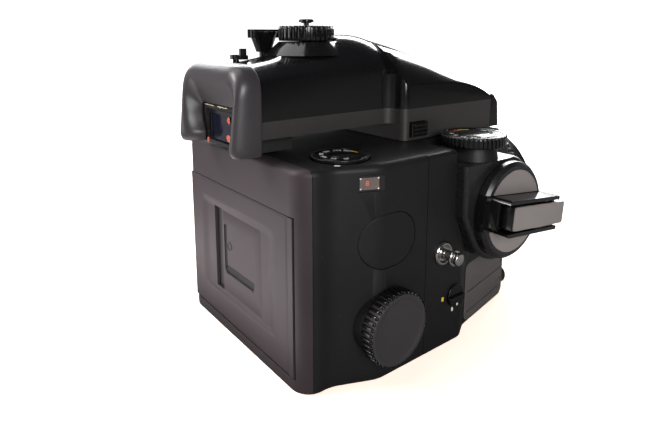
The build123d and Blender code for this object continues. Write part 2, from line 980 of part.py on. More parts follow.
def make_lens(parts):
    flange_y = body_front_y - mount_ring_thickness
    flange_front_y = flange_y - lens_flange_thickness
    aperture_rear_y = flange_front_y - loose_gap
    aperture_front_y = aperture_rear_y - aperture_ring_width
    focus_rear_y = aperture_front_y - loose_gap
    focus_front_y = focus_rear_y - focus_ring_width
    bezel_rear_y = focus_front_y - loose_gap
    bezel_front_y = bezel_rear_y - bezel_length
    barrel_outer = lens_tube_inner_radius - running_clearance
    barrel_inner = barrel_outer - barrel_wall
    bayonet = lens_ring(
        throat_radius - running_clearance, lens_tube_inner_radius, flange_y, flange_y + bayonet_length
    )
    flange = lens_ring(lens_flange_radius, lens_tube_inner_radius, flange_front_y, flange_y)
    tube = lens_ring(lens_tube_outer_radius, lens_tube_inner_radius, focus_front_y, flange_y)
    parts["lens_base"] = bayonet + flange + tube
    ring_bore = lens_tube_outer_radius + running_clearance
    parts["aperture_ring"] = lens_ring(
        aperture_ring_radius, ring_bore, aperture_front_y, aperture_rear_y
    )
    parts["focus_ring"] = lens_ring(focus_ring_radius, ring_bore, focus_front_y, focus_rear_y)
    barrel = lens_ring(barrel_outer, barrel_inner, bezel_front_y + 2, flange_y + 1)
    bezel = lens_ring(bezel_radius, barrel_inner, bezel_front_y, bezel_rear_y)
    thread = rod_y(
        filter_thread_radius, bezel_front_y - 1, bezel_front_y + filter_thread_depth, 0, lens_axis_z
    )
    parts["lens_front_barrel"] = barrel + bezel - thread
    front_middle_y = bezel_front_y + filter_thread_depth + 1 + front_glass_thickness / 2
    rear_middle_y = flange_y - 2 - rear_glass_thickness / 2
    glass_radius = barrel_inner - 0.05
    glass = []
    for middle_y, thickness in (
        (front_middle_y, front_glass_thickness),
        (rear_middle_y, rear_glass_thickness),
    ):
        blank = rod_y(
            glass_radius, middle_y - thickness / 2, middle_y + thickness / 2, 0, lens_axis_z
        )
        curve = Pos(0, middle_y - thickness / 2 + glass_curve_radius, lens_axis_z) * Sphere(
            glass_curve_radius
        )
        glass.append(blank & curve)
    parts["lens_elements"] = Compound(children=glass)
    iris_y = (front_middle_y + rear_middle_y) / 2
    parts["iris_diaphragm"] = lens_ring(glass_radius, iris_opening_radius, iris_y, iris_y + 0.6)


def roof_section(y, half_width, shoulder_z, crown_z, low_z):
    sides = Polyline(
        (half_width, shoulder_z), (half_width, low_z), (-half_width, low_z), (-half_width, shoulder_z)
    )
    crown = ThreePointArc((-half_width, shoulder_z), (0, crown_z), (half_width, shoulder_z))
    outline = make_face([sides, crown])
    shoulders = [
        corner for corner in outline.vertices() if abs(corner.Y - shoulder_z) < 0.01
    ]
    outline = fillet(shoulders, finder_roof_corner)
    return Plane(origin=(0, y, 0), x_dir=(1, 0, 0), z_dir=(0, -1, 0)) * outline


def roof_solid(stations, half_width, inset, low_z):
    sections = [
        roof_section(y, half_width - inset, shoulder_z - inset, crown_z - inset, low_z)
        for y, shoulder_z, crown_z in stations
    ]
    return loft(sections)


def finder_plan(low_z, high_z):
    plan = block(
        -finder_half_width, finder_half_width, finder_cap_y, finder_rear_y, low_z, high_z
    )
    rear_corners = plan.edges().filter_by(Axis.Z).group_by(Axis.Y)[-1]
    return fillet(rear_corners, finder_corner_radius)


def cove(side, low_z, high_z):
    edge_x = side * tunnel_half_width
    far_x = edge_x + side * finder_cove_radius
    corner = block(
        min(edge_x - side, far_x),
        max(edge_x - side, far_x),
        finder_rear_y - 1,
        finder_rear_y + finder_cove_radius,
        low_z,
        high_z,
    )
    return corner - rod_z(
        finder_cove_radius, low_z - 1, high_z + 1, far_x, finder_rear_y + finder_cove_radius
    )


def make_finder(parts):
    floor_z = finder_wall
    inner_half = finder_half_width - finder_wall
    wide = roof_solid(wide_roof, finder_half_width, 0, finder_seam_z) & finder_plan(
        finder_seam_z, cut_reach
    )
    tunnel = roof_solid(tunnel_roof, tunnel_half_width, 0, finder_seam_z)
    wide_cavity = roof_solid(wide_roof, finder_half_width, finder_wall + 0.6, 0) & block(
        -finder_half_width,
        finder_half_width,
        finder_cap_y + finder_wall,
        finder_rear_y - finder_wall,
        finder_seam_z - 1,
        cut_reach,
    )
    tunnel_cavity = block(
        finder_wall - tunnel_half_width,
        tunnel_half_width - finder_wall,
        finder_rear_y - finder_wall - 1,
        tunnel_end_y + 1,
        finder_seam_z - 1,
        tunnel_cavity_top_z,
    )
    pedestal_top_z = comp_dial_bottom_z - loose_gap
    pedestal = Pos(0, comp_dial_y, (pedestal_bottom_z - 1 + pedestal_top_z) / 2) * Cone(
        pedestal_radius, comp_dial_radius, pedestal_top_z - pedestal_bottom_z + 1
    )
    dial_recess = rod_z(comp_dial_radius + 2 * loose_gap, pedestal_top_z, cut_reach, 0, comp_dial_y)
    dial_bore = rod_z(
        dial_stem_radius + running_clearance,
        pedestal_bottom_z - 4,
        comp_dial_bottom_z + 1,
        0,
        comp_dial_y,
    )
    selector_bore = rod_z(
        selector_stem_radius + running_clearance,
        selector_seat_z - 3,
        selector_seat_z + 6,
        selector_x,
        selector_y,
    )
    selector_recess = rod_z(
        selector_foot_radius + loose_gap, selector_seat_z, selector_seat_z + 6, selector_x, selector_y
    )
    blind_bore = rod_z(
        blind_stem_radius + running_clearance, blind_seat_z - 2, blind_seat_z + 6, blind_lever_x, blind_lever_y
    )
    parts["finder_upper_shell"] = (
        wide
        + tunnel
        + [cove(1, finder_seam_z, cove_top_z), cove(-1, finder_seam_z, cove_top_z)]
        + pedestal
        - wide_cavity
        - tunnel_cavity
        - [dial_recess, dial_bore, selector_bore, selector_recess, blind_bore]
    )
    lower_wide = finder_plan(0, finder_seam_z)
    lower_tunnel = block(
        -tunnel_half_width,
        tunnel_half_width,
        finder_rear_y - 1,
        tunnel_end_y,
        tunnel_bottom_z,
        finder_seam_z,
    )
    lower_cavity = block(
        -inner_half,
        inner_half,
        finder_cap_y + finder_wall,
        finder_rear_y - finder_wall,
        floor_z,
        finder_seam_z + 1,
    )
    lower_tunnel_cavity = block(
        finder_wall - tunnel_half_width,
        tunnel_half_width - finder_wall,
        finder_rear_y - finder_wall - 1,
        tunnel_end_y + 1,
        tunnel_bottom_z + finder_wall,
        finder_seam_z + 1,
    )
    eyepiece_slot = block(
        eyepiece_box_wall + 1 - eyepiece_box_half_width,
        eyepiece_box_half_width - eyepiece_box_wall - 1,
        tunnel_end_y - eyepiece_box_length + eyepiece_box_wall + 1,
        tunnel_end_y + 1,
        tunnel_bottom_z - 1,
        tunnel_bottom_z + finder_wall + 1,
    )
    light_hole = block(
        3 - prism_half_width,
        prism_half_width - 3,
        prism_front_y + 3,
        prism_rear_y - 3,
        -1,
        floor_z + 1,
    )
    button_hole = block(
        -finder_half_width - 1,
        -inner_half + 1,
        finder_button_y - finder_button_width / 2 - loose_gap,
        finder_button_y + finder_button_width / 2 + loose_gap,
        finder_button_bottom_z - loose_gap,
        finder_button_top_z + loose_gap,
    )
    parts["finder_lower_shell"] = (
        lower_wide
        + lower_tunnel
        + [cove(1, tunnel_bottom_z, finder_seam_z), cove(-1, tunnel_bottom_z, finder_seam_z)]
        - lower_cavity
        - lower_tunnel_cavity
        - eyepiece_slot
        - light_hole
        - button_hole
    )
    cap_profile = [
        (finder_cap_y, 0),
        (finder_cap_y, finder_cap_top_z + 3),
        (finder_cap_y - 1.5, finder_cap_top_z - 0.8),
        (finder_cap_y - finder_cap_depth + 1.2, finder_cap_top_z - 6),
        (finder_cap_y - finder_cap_depth, 0),
    ]
    cap_y, shoulder_z, crown_z = wide_roof[0]
    cap_section = roof_section(cap_y, finder_half_width, shoulder_z, crown_z, 0)
    cap = side_profile(cap_profile, finder_half_width) & extrude(cap_section, finder_cap_depth)
    upright_edges = [
        edge
        for edge in cap.edges().filter_by(Plane.YZ)
        if abs(abs(edge.center().X) - finder_half_width) < 0.01
        and edge.center().Y < finder_cap_y - finder_cap_depth / 2
        and edge.center().Z > 0.1
    ]
    parts["finder_front_cap"] = fillet(upright_edges, 1.4)
    prism_side = side_profile(
        [
            (prism_rear_y, floor_z),
            (prism_rear_y, prism_ridge_z - 7),
            (prism_rear_y - 6, prism_ridge_z),
            (prism_front_y, prism_shoulder_z),
            (prism_front_y, floor_z),
        ],
        prism_half_width,
    )
    house = make_face(
        Polyline(
            (-prism_half_width, floor_z),
            (prism_half_width, floor_z),
            (prism_half_width, prism_shoulder_z),
            (0, prism_ridge_z),
            (-prism_half_width, prism_shoulder_z),
            close=True,
        )
    )
    roof_shape = Pos(0, prism_rear_y, 0) * extrude(Plane.XZ * house, prism_rear_y - prism_front_y)
    parts["pentaprism"] = prism_side & roof_shape
    press = block(
        -finder_half_width - finder_button_travel,
        -finder_half_width - finder_button_travel + finder_button_depth,
        finder_button_y - finder_button_width / 2,
        finder_button_y + finder_button_width / 2,
        finder_button_bottom_z,
        finder_button_top_z,
    )
    parts["finder_release_button"] = fillet(press.faces().sort_by(Axis.X)[0].edges(), 0.5)


def make_eyepiece(parts):
    frame_rear_y = tunnel_end_y + eyepiece_thickness
    plate = block(
        -eyepiece_half_width,
        eyepiece_half_width,
        tunnel_end_y,
        frame_rear_y,
        eyepiece_bottom_z,
        eyepiece_top_z,
    )
    box = block(
        -eyepiece_box_half_width,
        eyepiece_box_half_width,
        tunnel_end_y - eyepiece_box_length,
        tunnel_end_y + 1,
        eyepiece_bottom_z,
        tunnel_bottom_z,
    )
    box_cavity = block(
        eyepiece_box_wall - eyepiece_box_half_width,
        eyepiece_box_half_width - eyepiece_box_wall,
        tunnel_end_y - eyepiece_box_length + eyepiece_box_wall,
        tunnel_end_y,
        eyepiece_bottom_z + eyepiece_box_wall,
        tunnel_bottom_z + 1,
    )
    window = block(
        -eyepiece_window_half_width,
        eyepiece_window_half_width,
        tunnel_end_y - 1,
        frame_rear_y + 1,
        eyepiece_window_bottom_z,
        eyepiece_window_top_z,
    )
    window = fillet(window.edges().filter_by(Axis.Y), 1.0)
    parts["eyepiece_frame"] = plate + box - box_cavity - window
    lens = block(
        0.1 - eyepiece_window_half_width,
        eyepiece_window_half_width - 0.1,
        tunnel_end_y + 0.3,
        frame_rear_y - 0.4,
        eyepiece_window_bottom_z + 0.1,
        eyepiece_window_top_z - 0.1,
    )
    parts["eyepiece_lens"] = fillet(lens.edges().filter_by(Axis.Y), 0.9)


def side_prism(points, half_width):
    side = make_face(Polyline(*points, close=True))
    return extrude(Plane.YZ * side, half_width, both=True)


def make_eyecup(parts):
    frame_rear_y = tunnel_end_y + eyepiece_thickness
    low_rear_y = tunnel_end_y + eyecup_low_depth
    high_rear_y = tunnel_end_y + eyecup_high_depth
    cup_side = [
        (tunnel_end_y, eyecup_bottom_z),
        (low_rear_y, eyecup_bottom_z),
        (high_rear_y, eyecup_top_z),
        (tunnel_end_y, eyecup_top_z),
    ]
    cup = side_prism(cup_side, eyecup_half_width)
    long_edges = cup.edges().filter_by(Axis.Y).group_by(Axis.Z)
    cup = fillet(long_edges[-1], eyecup_corner_radius)
    long_edges = cup.edges().filter_by(Axis.Y).group_by(Axis.Z)
    cup = fillet(long_edges[0], eyecup_foot_radius)
    cup = fillet(cup.faces().sort_by(Axis.Y)[-1].edges(), eyecup_rim_radius)
    opening = block(
        -eyecup_opening_half_width,
        eyecup_opening_half_width,
        tunnel_end_y - 1,
        low_rear_y + 1,
        eyecup_bottom_z - 1,
        eyecup_opening_top_z,
    )
    dish_side = [
        (tunnel_end_y + eyecup_dish_low_depth, eyecup_opening_top_z - 0.1),
        (low_rear_y + 1, eyecup_opening_top_z - 0.1),
        (low_rear_y + 1, eyecup_dish_top_z),
        (tunnel_end_y + eyecup_dish_high_depth, eyecup_dish_top_z),
    ]
    dish = side_prism(dish_side, eyecup_dish_half_width)
    pocket = block(
        -eyepiece_half_width - 0.1,
        eyepiece_half_width + 0.1,
        tunnel_end_y - 1,
        frame_rear_y + 0.1,
        eyepiece_bottom_z - 1,
        eyepiece_top_z + 0.1,
    )
    parts["eyecup"] = cup - opening - dish - pocket


def make_finder_controls(parts):
    dial = toothed_disc(comp_dial_radius, comp_dial_height, comp_dial_teeth, tooth_depth)
    dial = Pos(0, comp_dial_y, comp_dial_bottom_z + comp_dial_height / 2) * dial
    stem = rod_z(
        dial_stem_radius, pedestal_bottom_z - 3.7, comp_dial_bottom_z + 1, 0, comp_dial_y
    )
    dial_top_z = comp_dial_bottom_z + comp_dial_height
    pin_bore = rod_z(
        lock_pin_radius + running_clearance, comp_dial_bottom_z + 1.5, dial_top_z + 1, 0, comp_dial_y
    )
    parts["compensation_dial"] = dial + stem - pin_bore
    cap_top_z = dial_top_z + lock_button_travel + lock_button_height
    cap = rod_z(
        lock_button_radius, cap_top_z - lock_button_height + 0.4, cap_top_z, 0, comp_dial_y
    )
    pin = rod_z(
        lock_pin_radius,
        comp_dial_bottom_z + 1.5 + lock_button_travel + loose_gap,
        cap_top_z - 0.5,
        0,
        comp_dial_y,
    )
    parts["dial_lock_button"] = fillet(cap.edges().sort_by(Axis.Z)[-1], 0.4) + pin
    post_low = selector_seat_z + loose_gap
    post_high = selector_seat_z + selector_height
    post = Pos(selector_x, selector_y, (post_low + post_high) / 2) * Cone(
        selector_foot_radius, selector_radius, post_high - post_low
    )
    post_stem = rod_z(
        selector_stem_radius, selector_seat_z - 2.7, selector_seat_z + 1, selector_x, selector_y
    )
    head = block(
        selector_x - 2,
        selector_x + 2.6,
        selector_y - selector_arm_length,
        selector_y + selector_arm_length * 0.75,
        selector_seat_z + selector_height - 2.6,
        selector_seat_z + selector_height + 0.8,
    )
    head = fillet(head.edges().filter_by(Axis.Z), 1.2)
    parts["meter_selector"] = post + post_stem + head
    lever = block(
        blind_lever_x - blind_lever_length,
        blind_lever_x,
        blind_lever_y - 1.5,
        blind_lever_y + 1.5,
        blind_seat_z + loose_gap,
        blind_seat_z + loose_gap + 1.6,
    )
    hub = rod_z(
        2.2, blind_seat_z + loose_gap, blind_seat_z + loose_gap + 1.6, blind_lever_x, blind_lever_y
    )
    tip = rod_z(
        1.4,
        blind_seat_z + loose_gap,
        blind_seat_z + 4.4,
        blind_lever_x - blind_lever_length + 1.4,
        blind_lever_y,
    )
    stem = rod_z(
        blind_stem_radius, blind_seat_z - 1.7, blind_seat_z + 1, blind_lever_x, blind_lever_y
    )
    parts["eyepiece_blind_lever"] = lever + hub + tip + stem


def magazine_block():
    points = [
        (-body_half_width, seam_y),
        (-body_half_width, flare_front_y),
        (-cover_half_width, flare_rear_y),
        (-cover_half_width, magazine_rear_y),
    ]
    radii = [0, flare_radius, flare_radius, cover_corner_radius]
    solid = extrude(mirrored_outline(points, radii), magazine_height)
    low_rims = [rim for rim in rim_edges(solid, 0) if rim.center().Y > seam_y + 0.01]
    solid = fillet(low_rims, edge_radius)
    high_rims = [rim for rim in rim_edges(solid, magazine_height) if rim.center().Y > seam_y + 0.01]
    return fillet(high_rims, magazine_edge_radius)


def door_space(gap):
    return block(
        door_right_x - gap,
        door_left_x + gap,
        magazine_rear_y - door_thickness - gap,
        magazine_rear_y + 1,
        door_bottom_z - gap,
        door_top_z + gap,
    )


def thumb_oval(growth):
    outline = Plane.YZ * SlotOverall(thumb_length + 2 * growth, thumb_height + 2 * growth)
    return Pos(-body_half_width - 5, thumb_y, thumb_z) * extrude(outline, 20)


def window_plane():
    slope = Vector(
        body_half_width - cover_half_width, flare_rear_y - flare_front_y, 0
    ).normalized()
    outward = Vector(-slope.Y, slope.X, 0)
    share = (window_y - flare_front_y) / (flare_rear_y - flare_front_y)
    wall_x = -body_half_width + share * (body_half_width - cover_half_width)
    return Plane(origin=(wall_x, window_y, window_z), x_dir=slope, z_dir=outward)


def make_magazine_shell(parts):
    outer = magazine_block()
    interior = block(
        -interior_half_width,
        interior_half_width,
        insert_front_y,
        magazine_rear_y + 1,
        magazine_wall,
        magazine_height - magazine_wall - 0.6,
    )
    gate = block(
        -frame_width / 2 - 1,
        frame_width / 2 + 1,
        seam_y - 1,
        insert_front_y,
        lens_axis_z - frame_height / 2 - 1,
        lens_axis_z + frame_height / 2 + 1,
    )
    slide_slot = block(
        dark_slide_right_x - loose_gap,
        body_half_width + 1,
        dark_slide_y - dark_slide_thickness / 2 - loose_gap,
        dark_slide_y + dark_slide_thickness / 2 + loose_gap,
        lens_axis_z - dark_slide_half_height - loose_gap,
        lens_axis_z + dark_slide_half_height + loose_gap,
    )
    dial_pocket = rod_z(
        iso_radius + loose_gap,
        magazine_height + iso_proud - iso_height - loose_gap,
        magazine_height + 1,
        iso_x,
        iso_y,
    )
    dial_bore = rod_z(
        iso_stem_radius + running_clearance, magazine_height - iso_bore_depth, magazine_height, iso_x, iso_y
    )
    knob_bore = rod_x(
        knob_shaft_radius + running_clearance,
        -body_half_width - 2,
        -interior_half_width + 1,
        knob_y,
        knob_z,
    )
    knob_seat = rod_x(
        knob_seat_radius,
        -body_half_width - knob_seat_height,
        -interior_half_width - 1,
        knob_y,
        knob_z,
    )
    window_pocket = window_plane() * Pos(0, 0, -window_thickness / 2) * Box(
        window_width + 0.2, window_height + 0.2, window_thickness + 1
    )
    pad_floor = Pos(thumb_thickness + 0.1, 0, 0) * outer
    pad_pocket = thumb_oval(0.2) - pad_floor
    cover_range = block(
        -cut_reach, cut_reach, cover_front_y - shell_gap / 2, cut_reach, -cut_reach, cut_reach
    )
    parts["magazine_front_shell"] = (
        outer
        + knob_seat
        - cover_range
        - interior
        - [gate, slide_slot, dial_pocket, dial_bore, knob_bore, window_pocket]
        - pad_pocket
    )
    parts["thumb_pad"] = (outer & thumb_oval(0)) - Pos(thumb_thickness, 0, 0) * outer
    parts["film_window"] = window_plane() * Pos(0, 0, -window_thickness / 2 - 0.3) * Box(
        window_width, window_height, window_thickness
    )
    shell_range = block(-cut_reach, cut_reach, -cut_reach, cover_front_y, -cut_reach, cut_reach)
    hinge_groove = rod_z(
        hinge_groove_radius, door_bottom_z - door_gap, door_top_z + door_gap, door_hinge_x, hinge_y
    )
    groove_mouth = block(
        door_hinge_x - hinge_groove_radius,
        door_right_x,
        hinge_y,
        magazine_rear_y + 1,
        door_bottom_z - door_gap,
        door_top_z + door_gap,
    )
    pin_bore = rod_z(
        door_pin_radius + 0.03,
        door_bottom_z - hinge_pin_hold,
        door_top_z + hinge_pin_hold,
        door_hinge_x,
        hinge_y,
    )
    light_well = block(
        door_hinge_x + 4,
        door_left_x - 4,
        cover_front_y - 1,
        magazine_rear_y,
        door_bottom_z + 3,
        door_top_z - 3,
    )
    parts["magazine_rear_cover"] = (
        outer - shell_range - door_space(door_gap) - light_well - hinge_groove - groove_mouth - pin_bore
    )
    parts["door_hinge_pin"] = rod_z(
        door_pin_radius,
        door_bottom_z - hinge_pin_hold + 0.1,
        door_top_z + hinge_pin_hold - 0.1,
        door_hinge_x,
        hinge_y,
    )


def make_door(parts):
    panel = magazine_block() & door_space(0)
    dish = block(
        dish_right_x,
        dish_left_x,
        magazine_rear_y - dish_depth,
        magazine_rear_y + 1,
        dish_bottom_z,
        dish_top_z,
    )
    dish = fillet(dish.edges().filter_by(Axis.Y), 2)
    slot = block(
        memo_left_x - memo_slot_width,
        memo_left_x - 0.5,
        magazine_rear_y - dish_depth - 0.7,
        magazine_rear_y,
        memo_bottom_z,
        memo_top_z,
    )
    barrel = rod_z(door_barrel_radius, door_bottom_z, door_top_z, door_hinge_x, hinge_y)
    web = block(
        door_hinge_x,
        door_right_x + 0.5,
        hinge_y - door_barrel_radius * 0.6,
        magazine_rear_y,
        door_bottom_z,
        door_top_z,
    )
    pin_bore = rod_z(
        door_pin_radius + running_clearance, door_bottom_z - 1, door_top_z + 1, door_hinge_x, hinge_y
    )
    parts["magazine_door"] = panel + barrel + web - dish - slot - pin_bore
    plate = block(
        memo_right_x,
        memo_left_x - memo_slot_width,
        magazine_rear_y - dish_depth,
        magazine_rear_y - dish_depth + memo_thickness,
        memo_bottom_z,
        memo_top_z,
    )
    card_window = block(
        memo_window_right_x,
        memo_window_left_x,
        magazine_rear_y - dish_depth + 0.3,
        magazine_rear_y + 1,
        memo_window_bottom_z,
        memo_window_top_z,
    )
    parts["memo_holder"] = plate - card_window
    parts["door_latch"] = block(
        cover_half_width + 0.1,
        cover_half_width + 0.1 + latch_thickness,
        cover_front_y - 6,
        cover_front_y - 0.5,
        latch_z - latch_height / 2,
        latch_z + latch_height / 2,
    )


def make_film_parts(parts):
    plate_inner = insert_half_width - insert_plate
    insert = block(
        -insert_half_width,
        insert_half_width,
        insert_front_y,
        insert_rear_y,
        insert_bottom_z,
        insert_top_z,
    )
    space = block(
        -plate_inner,
        plate_inner,
        insert_front_y - 1,
        insert_rear_y + 1,
        insert_bottom_z + insert_plate,
        insert_top_z - insert_plate,
    )
    backing = block(
        -plate_inner,
        plate_inner,
        insert_front_y + pressure_plate_thickness,
        insert_front_y + pressure_plate_thickness + 0.8,
        lens_axis_z - backing_half_height,
        lens_axis_z + backing_half_height,
    )
    axles = [
        rod_x(spool_pin_radius, plate_inner - 0.5 - spool_pin_length, plate_inner + 0.5, knob_y, knob_z),
        rod_x(
            spool_pin_radius, plate_inner - 0.5 - spool_pin_length, plate_inner + 0.5, knob_y, supply_z
        ),
        rod_x(
            spool_pin_radius, -plate_inner - 0.5, -plate_inner + 0.5 + spool_pin_length, knob_y, supply_z
        ),
    ]
    shaft_bore = rod_x(
        knob_shaft_radius + running_clearance, -insert_half_width - 1, 1 - plate_inner, knob_y, knob_z
    )
    parts["film_insert"] = insert - space + backing + axles - shaft_bore
    parts["pressure_plate"] = block(
        -pressure_plate_half_width,
        pressure_plate_half_width,
        insert_front_y,
        insert_front_y + pressure_plate_thickness,
        lens_axis_z - backing_half_height + 0.5,
        lens_axis_z + backing_half_height - 0.5,
    )
    for name, z in (("take_up_spool", knob_z), ("supply_spool", supply_z)):
        core = rod_x(spool_core_radius, -spool_half_length, spool_half_length, knob_y, z)
        flanges = [
            rod_x(spool_flange_radius, x, x + spool_flange_thickness, knob_y, z)
            for x in (-spool_half_length, spool_half_length - spool_flange_thickness)
        ]
        bore = rod_x(
            knob_shaft_radius + running_clearance, -spool_half_length - 1, spool_half_length + 1, knob_y, z
        )
        parts[name] = core + flanges - bore
    knob = toothed_disc(knob_radius, knob_length, knob_teeth, knob_tooth_depth)
    knob_middle_x = -body_half_width - knob_seat_height - loose_gap - knob_length / 2
    knob = Pos(knob_middle_x, knob_y, knob_z) * Rot(0, 90, 0) * knob
    dish = Pos(knob_middle_x - knob_length / 2 + 1 - knob_dish_radius, knob_y, knob_z) * Sphere(
        knob_dish_radius
    )
    shaft = rod_x(
        knob_shaft_radius,
        knob_middle_x,
        -plate_inner + 0.5 + spool_pin_length,
        knob_y,
        knob_z,
    )
    parts["wind_knob"] = knob + shaft - dish
    iso_top_z = magazine_height + iso_proud
    iso = toothed_disc(iso_radius, iso_height, iso_teeth, tooth_depth)
    iso = Pos(iso_x, iso_y, iso_top_z - iso_height / 2) * iso
    stem = rod_z(iso_stem_radius, iso_top_z - iso_height - 2, iso_top_z - 1, iso_x, iso_y)
    parts["iso_dial"] = iso + stem
    slide = block(
        dark_slide_right_x,
        body_half_width + slide_handle_overlap,
        dark_slide_y - dark_slide_thickness / 2,
        dark_slide_y + dark_slide_thickness / 2,
        lens_axis_z - dark_slide_half_height,
        lens_axis_z + dark_slide_half_height,
    )
    handle = block(
        body_half_width + loose_gap,
        body_half_width + dark_slide_handle,
        dark_slide_y - dark_slide_handle_thickness / 2,
        dark_slide_y + dark_slide_handle_thickness / 2,
        lens_axis_z - dark_slide_half_height + dark_slide_handle_inset,
        lens_axis_z + dark_slide_half_height - dark_slide_handle_inset,
    )
    handle = fillet(handle.edges().filter_by(Axis.Y), dark_slide_corner_radius)
    parts["dark_slide"] = slide + handle


def main():
    parts = {}
    make_body(parts)
    make_mirror_chamber(parts)
    make_shutter(parts)
    make_side_pieces(parts)
    make_crank(parts)
    make_dial_and_levers(parts)
    make_front(parts)
    make_lens(parts)
    finder_parts = {}
    make_finder(finder_parts)
    make_eyepiece(finder_parts)
    make_eyecup(finder_parts)
    make_finder_controls(finder_parts)
    for name, solid in finder_parts.items():
        parts[name] = Pos(0, 0, body_height + seam_gap) * solid
    make_magazine_shell(parts)
    make_door(parts)
    make_film_parts(parts)
    for name, solid in parts.items():
        export_step(solid, f"parts/{name}.step")
    print(len(parts), "pieces written")


main()
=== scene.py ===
# %% [markdown]
# # A medium format camera, seen from behind its film magazine
# The imported CAD model is the frame of this scene: it says where every part is and what moves.
# Blender adds what CAD is poor at: soft edges that catch the light, ribs, printed numbers, moulded
# rubber, and finishes with grain in them.
# This cell loads the frame.

import json
from math import asin, cos, pi, radians, sin, sqrt, tau

import bmesh
import bpy
from mathutils import Matrix, Vector


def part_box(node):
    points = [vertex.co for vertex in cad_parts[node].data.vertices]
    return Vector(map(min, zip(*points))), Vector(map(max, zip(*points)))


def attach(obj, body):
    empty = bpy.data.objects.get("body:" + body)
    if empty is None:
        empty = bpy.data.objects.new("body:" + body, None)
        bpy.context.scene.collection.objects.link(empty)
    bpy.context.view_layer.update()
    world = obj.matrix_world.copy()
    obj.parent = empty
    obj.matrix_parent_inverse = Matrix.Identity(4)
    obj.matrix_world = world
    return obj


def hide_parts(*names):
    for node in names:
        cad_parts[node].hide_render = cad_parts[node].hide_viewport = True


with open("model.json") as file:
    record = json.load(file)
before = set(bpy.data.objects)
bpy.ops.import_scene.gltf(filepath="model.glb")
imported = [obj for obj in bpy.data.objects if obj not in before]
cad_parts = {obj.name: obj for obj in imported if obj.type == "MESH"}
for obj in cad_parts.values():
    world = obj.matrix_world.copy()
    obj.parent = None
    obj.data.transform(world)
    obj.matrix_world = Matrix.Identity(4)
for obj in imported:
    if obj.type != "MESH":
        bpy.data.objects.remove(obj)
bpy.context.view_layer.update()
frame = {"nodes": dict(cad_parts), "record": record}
nodes = frame["nodes"]
mm = 0.001

# %% [markdown]
# ## Trees of nodes in few words
# The finishes, the floor and the ribs are all trees of nodes. Linking each socket by hand
# takes a line for each, so two helpers do it: one adds a node with its inputs filled or
# linked, and one mixes two colours.

# %% Add nodes to a tree
def add_node(tree, kind, inputs=(), **settings):
    """a new node, whose inputs are set to plain values or linked to other nodes"""
    node = tree.nodes.new(kind)
    for name, value in settings.items():
        setattr(node, name, value)
    for socket, source in dict(inputs).items():
        if isinstance(source, bpy.types.NodeSocket):
            tree.links.new(source, node.inputs[socket])
        else:
            node.inputs[socket].default_value = source
    return node


def mix_colours(tree, factor, first, second):
    """two colours mixed, each of them plain or from another node"""
    sides = {"Factor": factor}
    for side, colour in (("A", first), ("B", second)):
        sides[side] = colour if isinstance(colour, bpy.types.NodeSocket) else (*colour, 1)
    return add_node(tree, "ShaderNodeMix", sides, data_type="RGBA").outputs["Result"]


# %% [markdown]
# ## Finishes
# Nothing on a used camera has one flat colour. Every finish below is one Principled
# shader whose colour and roughness drift slowly across the piece, with a fine grain as
# bump. All patterns read Object coordinates, so they stay put when the piece moves, and
# their scale is in marks per metre, because the scene is in metres.

# %% A finish with drift and grain
def finish(name, dark, light, rough, grain=0.3, height=0.01, drift=25.0, metallic=0.0, **sockets):
    """drift and grain are the patterns' sizes, height is the bump's, all in millimetres"""
    material = bpy.data.materials.new(name)
    material.use_nodes = True
    tree = material.node_tree
    shader = tree.nodes["Principled BSDF"]
    shader.inputs["Metallic"].default_value = metallic
    for socket, value in sockets.items():
        shader.inputs[socket.replace("_", " ")].default_value = value
    place = add_node(tree, "ShaderNodeTexCoord").outputs["Object"]
    slow = add_node(tree, "ShaderNodeTexNoise", {
        "Vector": place, "Scale": 1 / (drift * mm), "Detail": 6, "Roughness": 0.65,
    }).outputs["Fac"]
    fine = add_node(tree, "ShaderNodeTexNoise", {
        "Vector": place, "Scale": 1 / (grain * mm), "Detail": 3,
    }).outputs["Fac"]
    polish = add_node(tree, "ShaderNodeMapRange", {
        "Value": slow, "From Min": 0.3, "From Max": 0.7, "To Min": rough[0], "To Max": rough[1],
    })
    bump = add_node(tree, "ShaderNodeBump", {
        "Height": fine, "Strength": 0.6, "Distance": height * mm,
    })
    tree.links.new(mix_colours(tree, slow, dark, light), shader.inputs["Base Color"])
    tree.links.new(polish.outputs["Result"], shader.inputs["Roughness"])
    tree.links.new(bump.outputs["Normal"], shader.inputs["Normal"])
    return material


# %% [markdown]
# The black paints and the rubber also carry dust: a few pale specks a tenth of a
# millimetre wide. A Voronoi pattern gives each speck a cell, and a steep ramp on the
# distance to the cell's point keeps only its middle.

# %% Dust on top of a finish
dust_colour = (0.20, 0.18, 0.17)


def add_dust(material, spacing=5.0, size=0.06):
    tree = material.node_tree
    base = tree.nodes["Principled BSDF"].inputs["Base Color"]
    place = add_node(tree, "ShaderNodeTexCoord").outputs["Object"]
    cells = add_node(tree, "ShaderNodeTexVoronoi", {"Vector": place, "Scale": 1 / (spacing * mm)})
    speck = add_node(tree, "ShaderNodeMapRange", {
        "Value": cells.outputs["Distance"],
        "From Min": 1.6 * size / spacing, "From Max": size / spacing,
    })
    clean = base.links[0].from_socket
    tree.links.new(mix_colours(tree, speck.outputs["Result"], clean, dust_colour), base)


# %% [markdown]
# Each row below is a finish: its darker and its lighter colour, the range of its roughness, the size of
# its grain and the height of the grain's bump.
# The blacks differ from each other less in colour than in gloss, as paint, plastic and rubber do.
# The rear paint is the black paint made lighter and warmer: painted light, for the warm light that
# falls on the rear faces.

# %% Painted and moulded blacks
looks = {}


def add_look(name, *values, **sockets):
    looks[name] = finish(name, *values, **sockets)


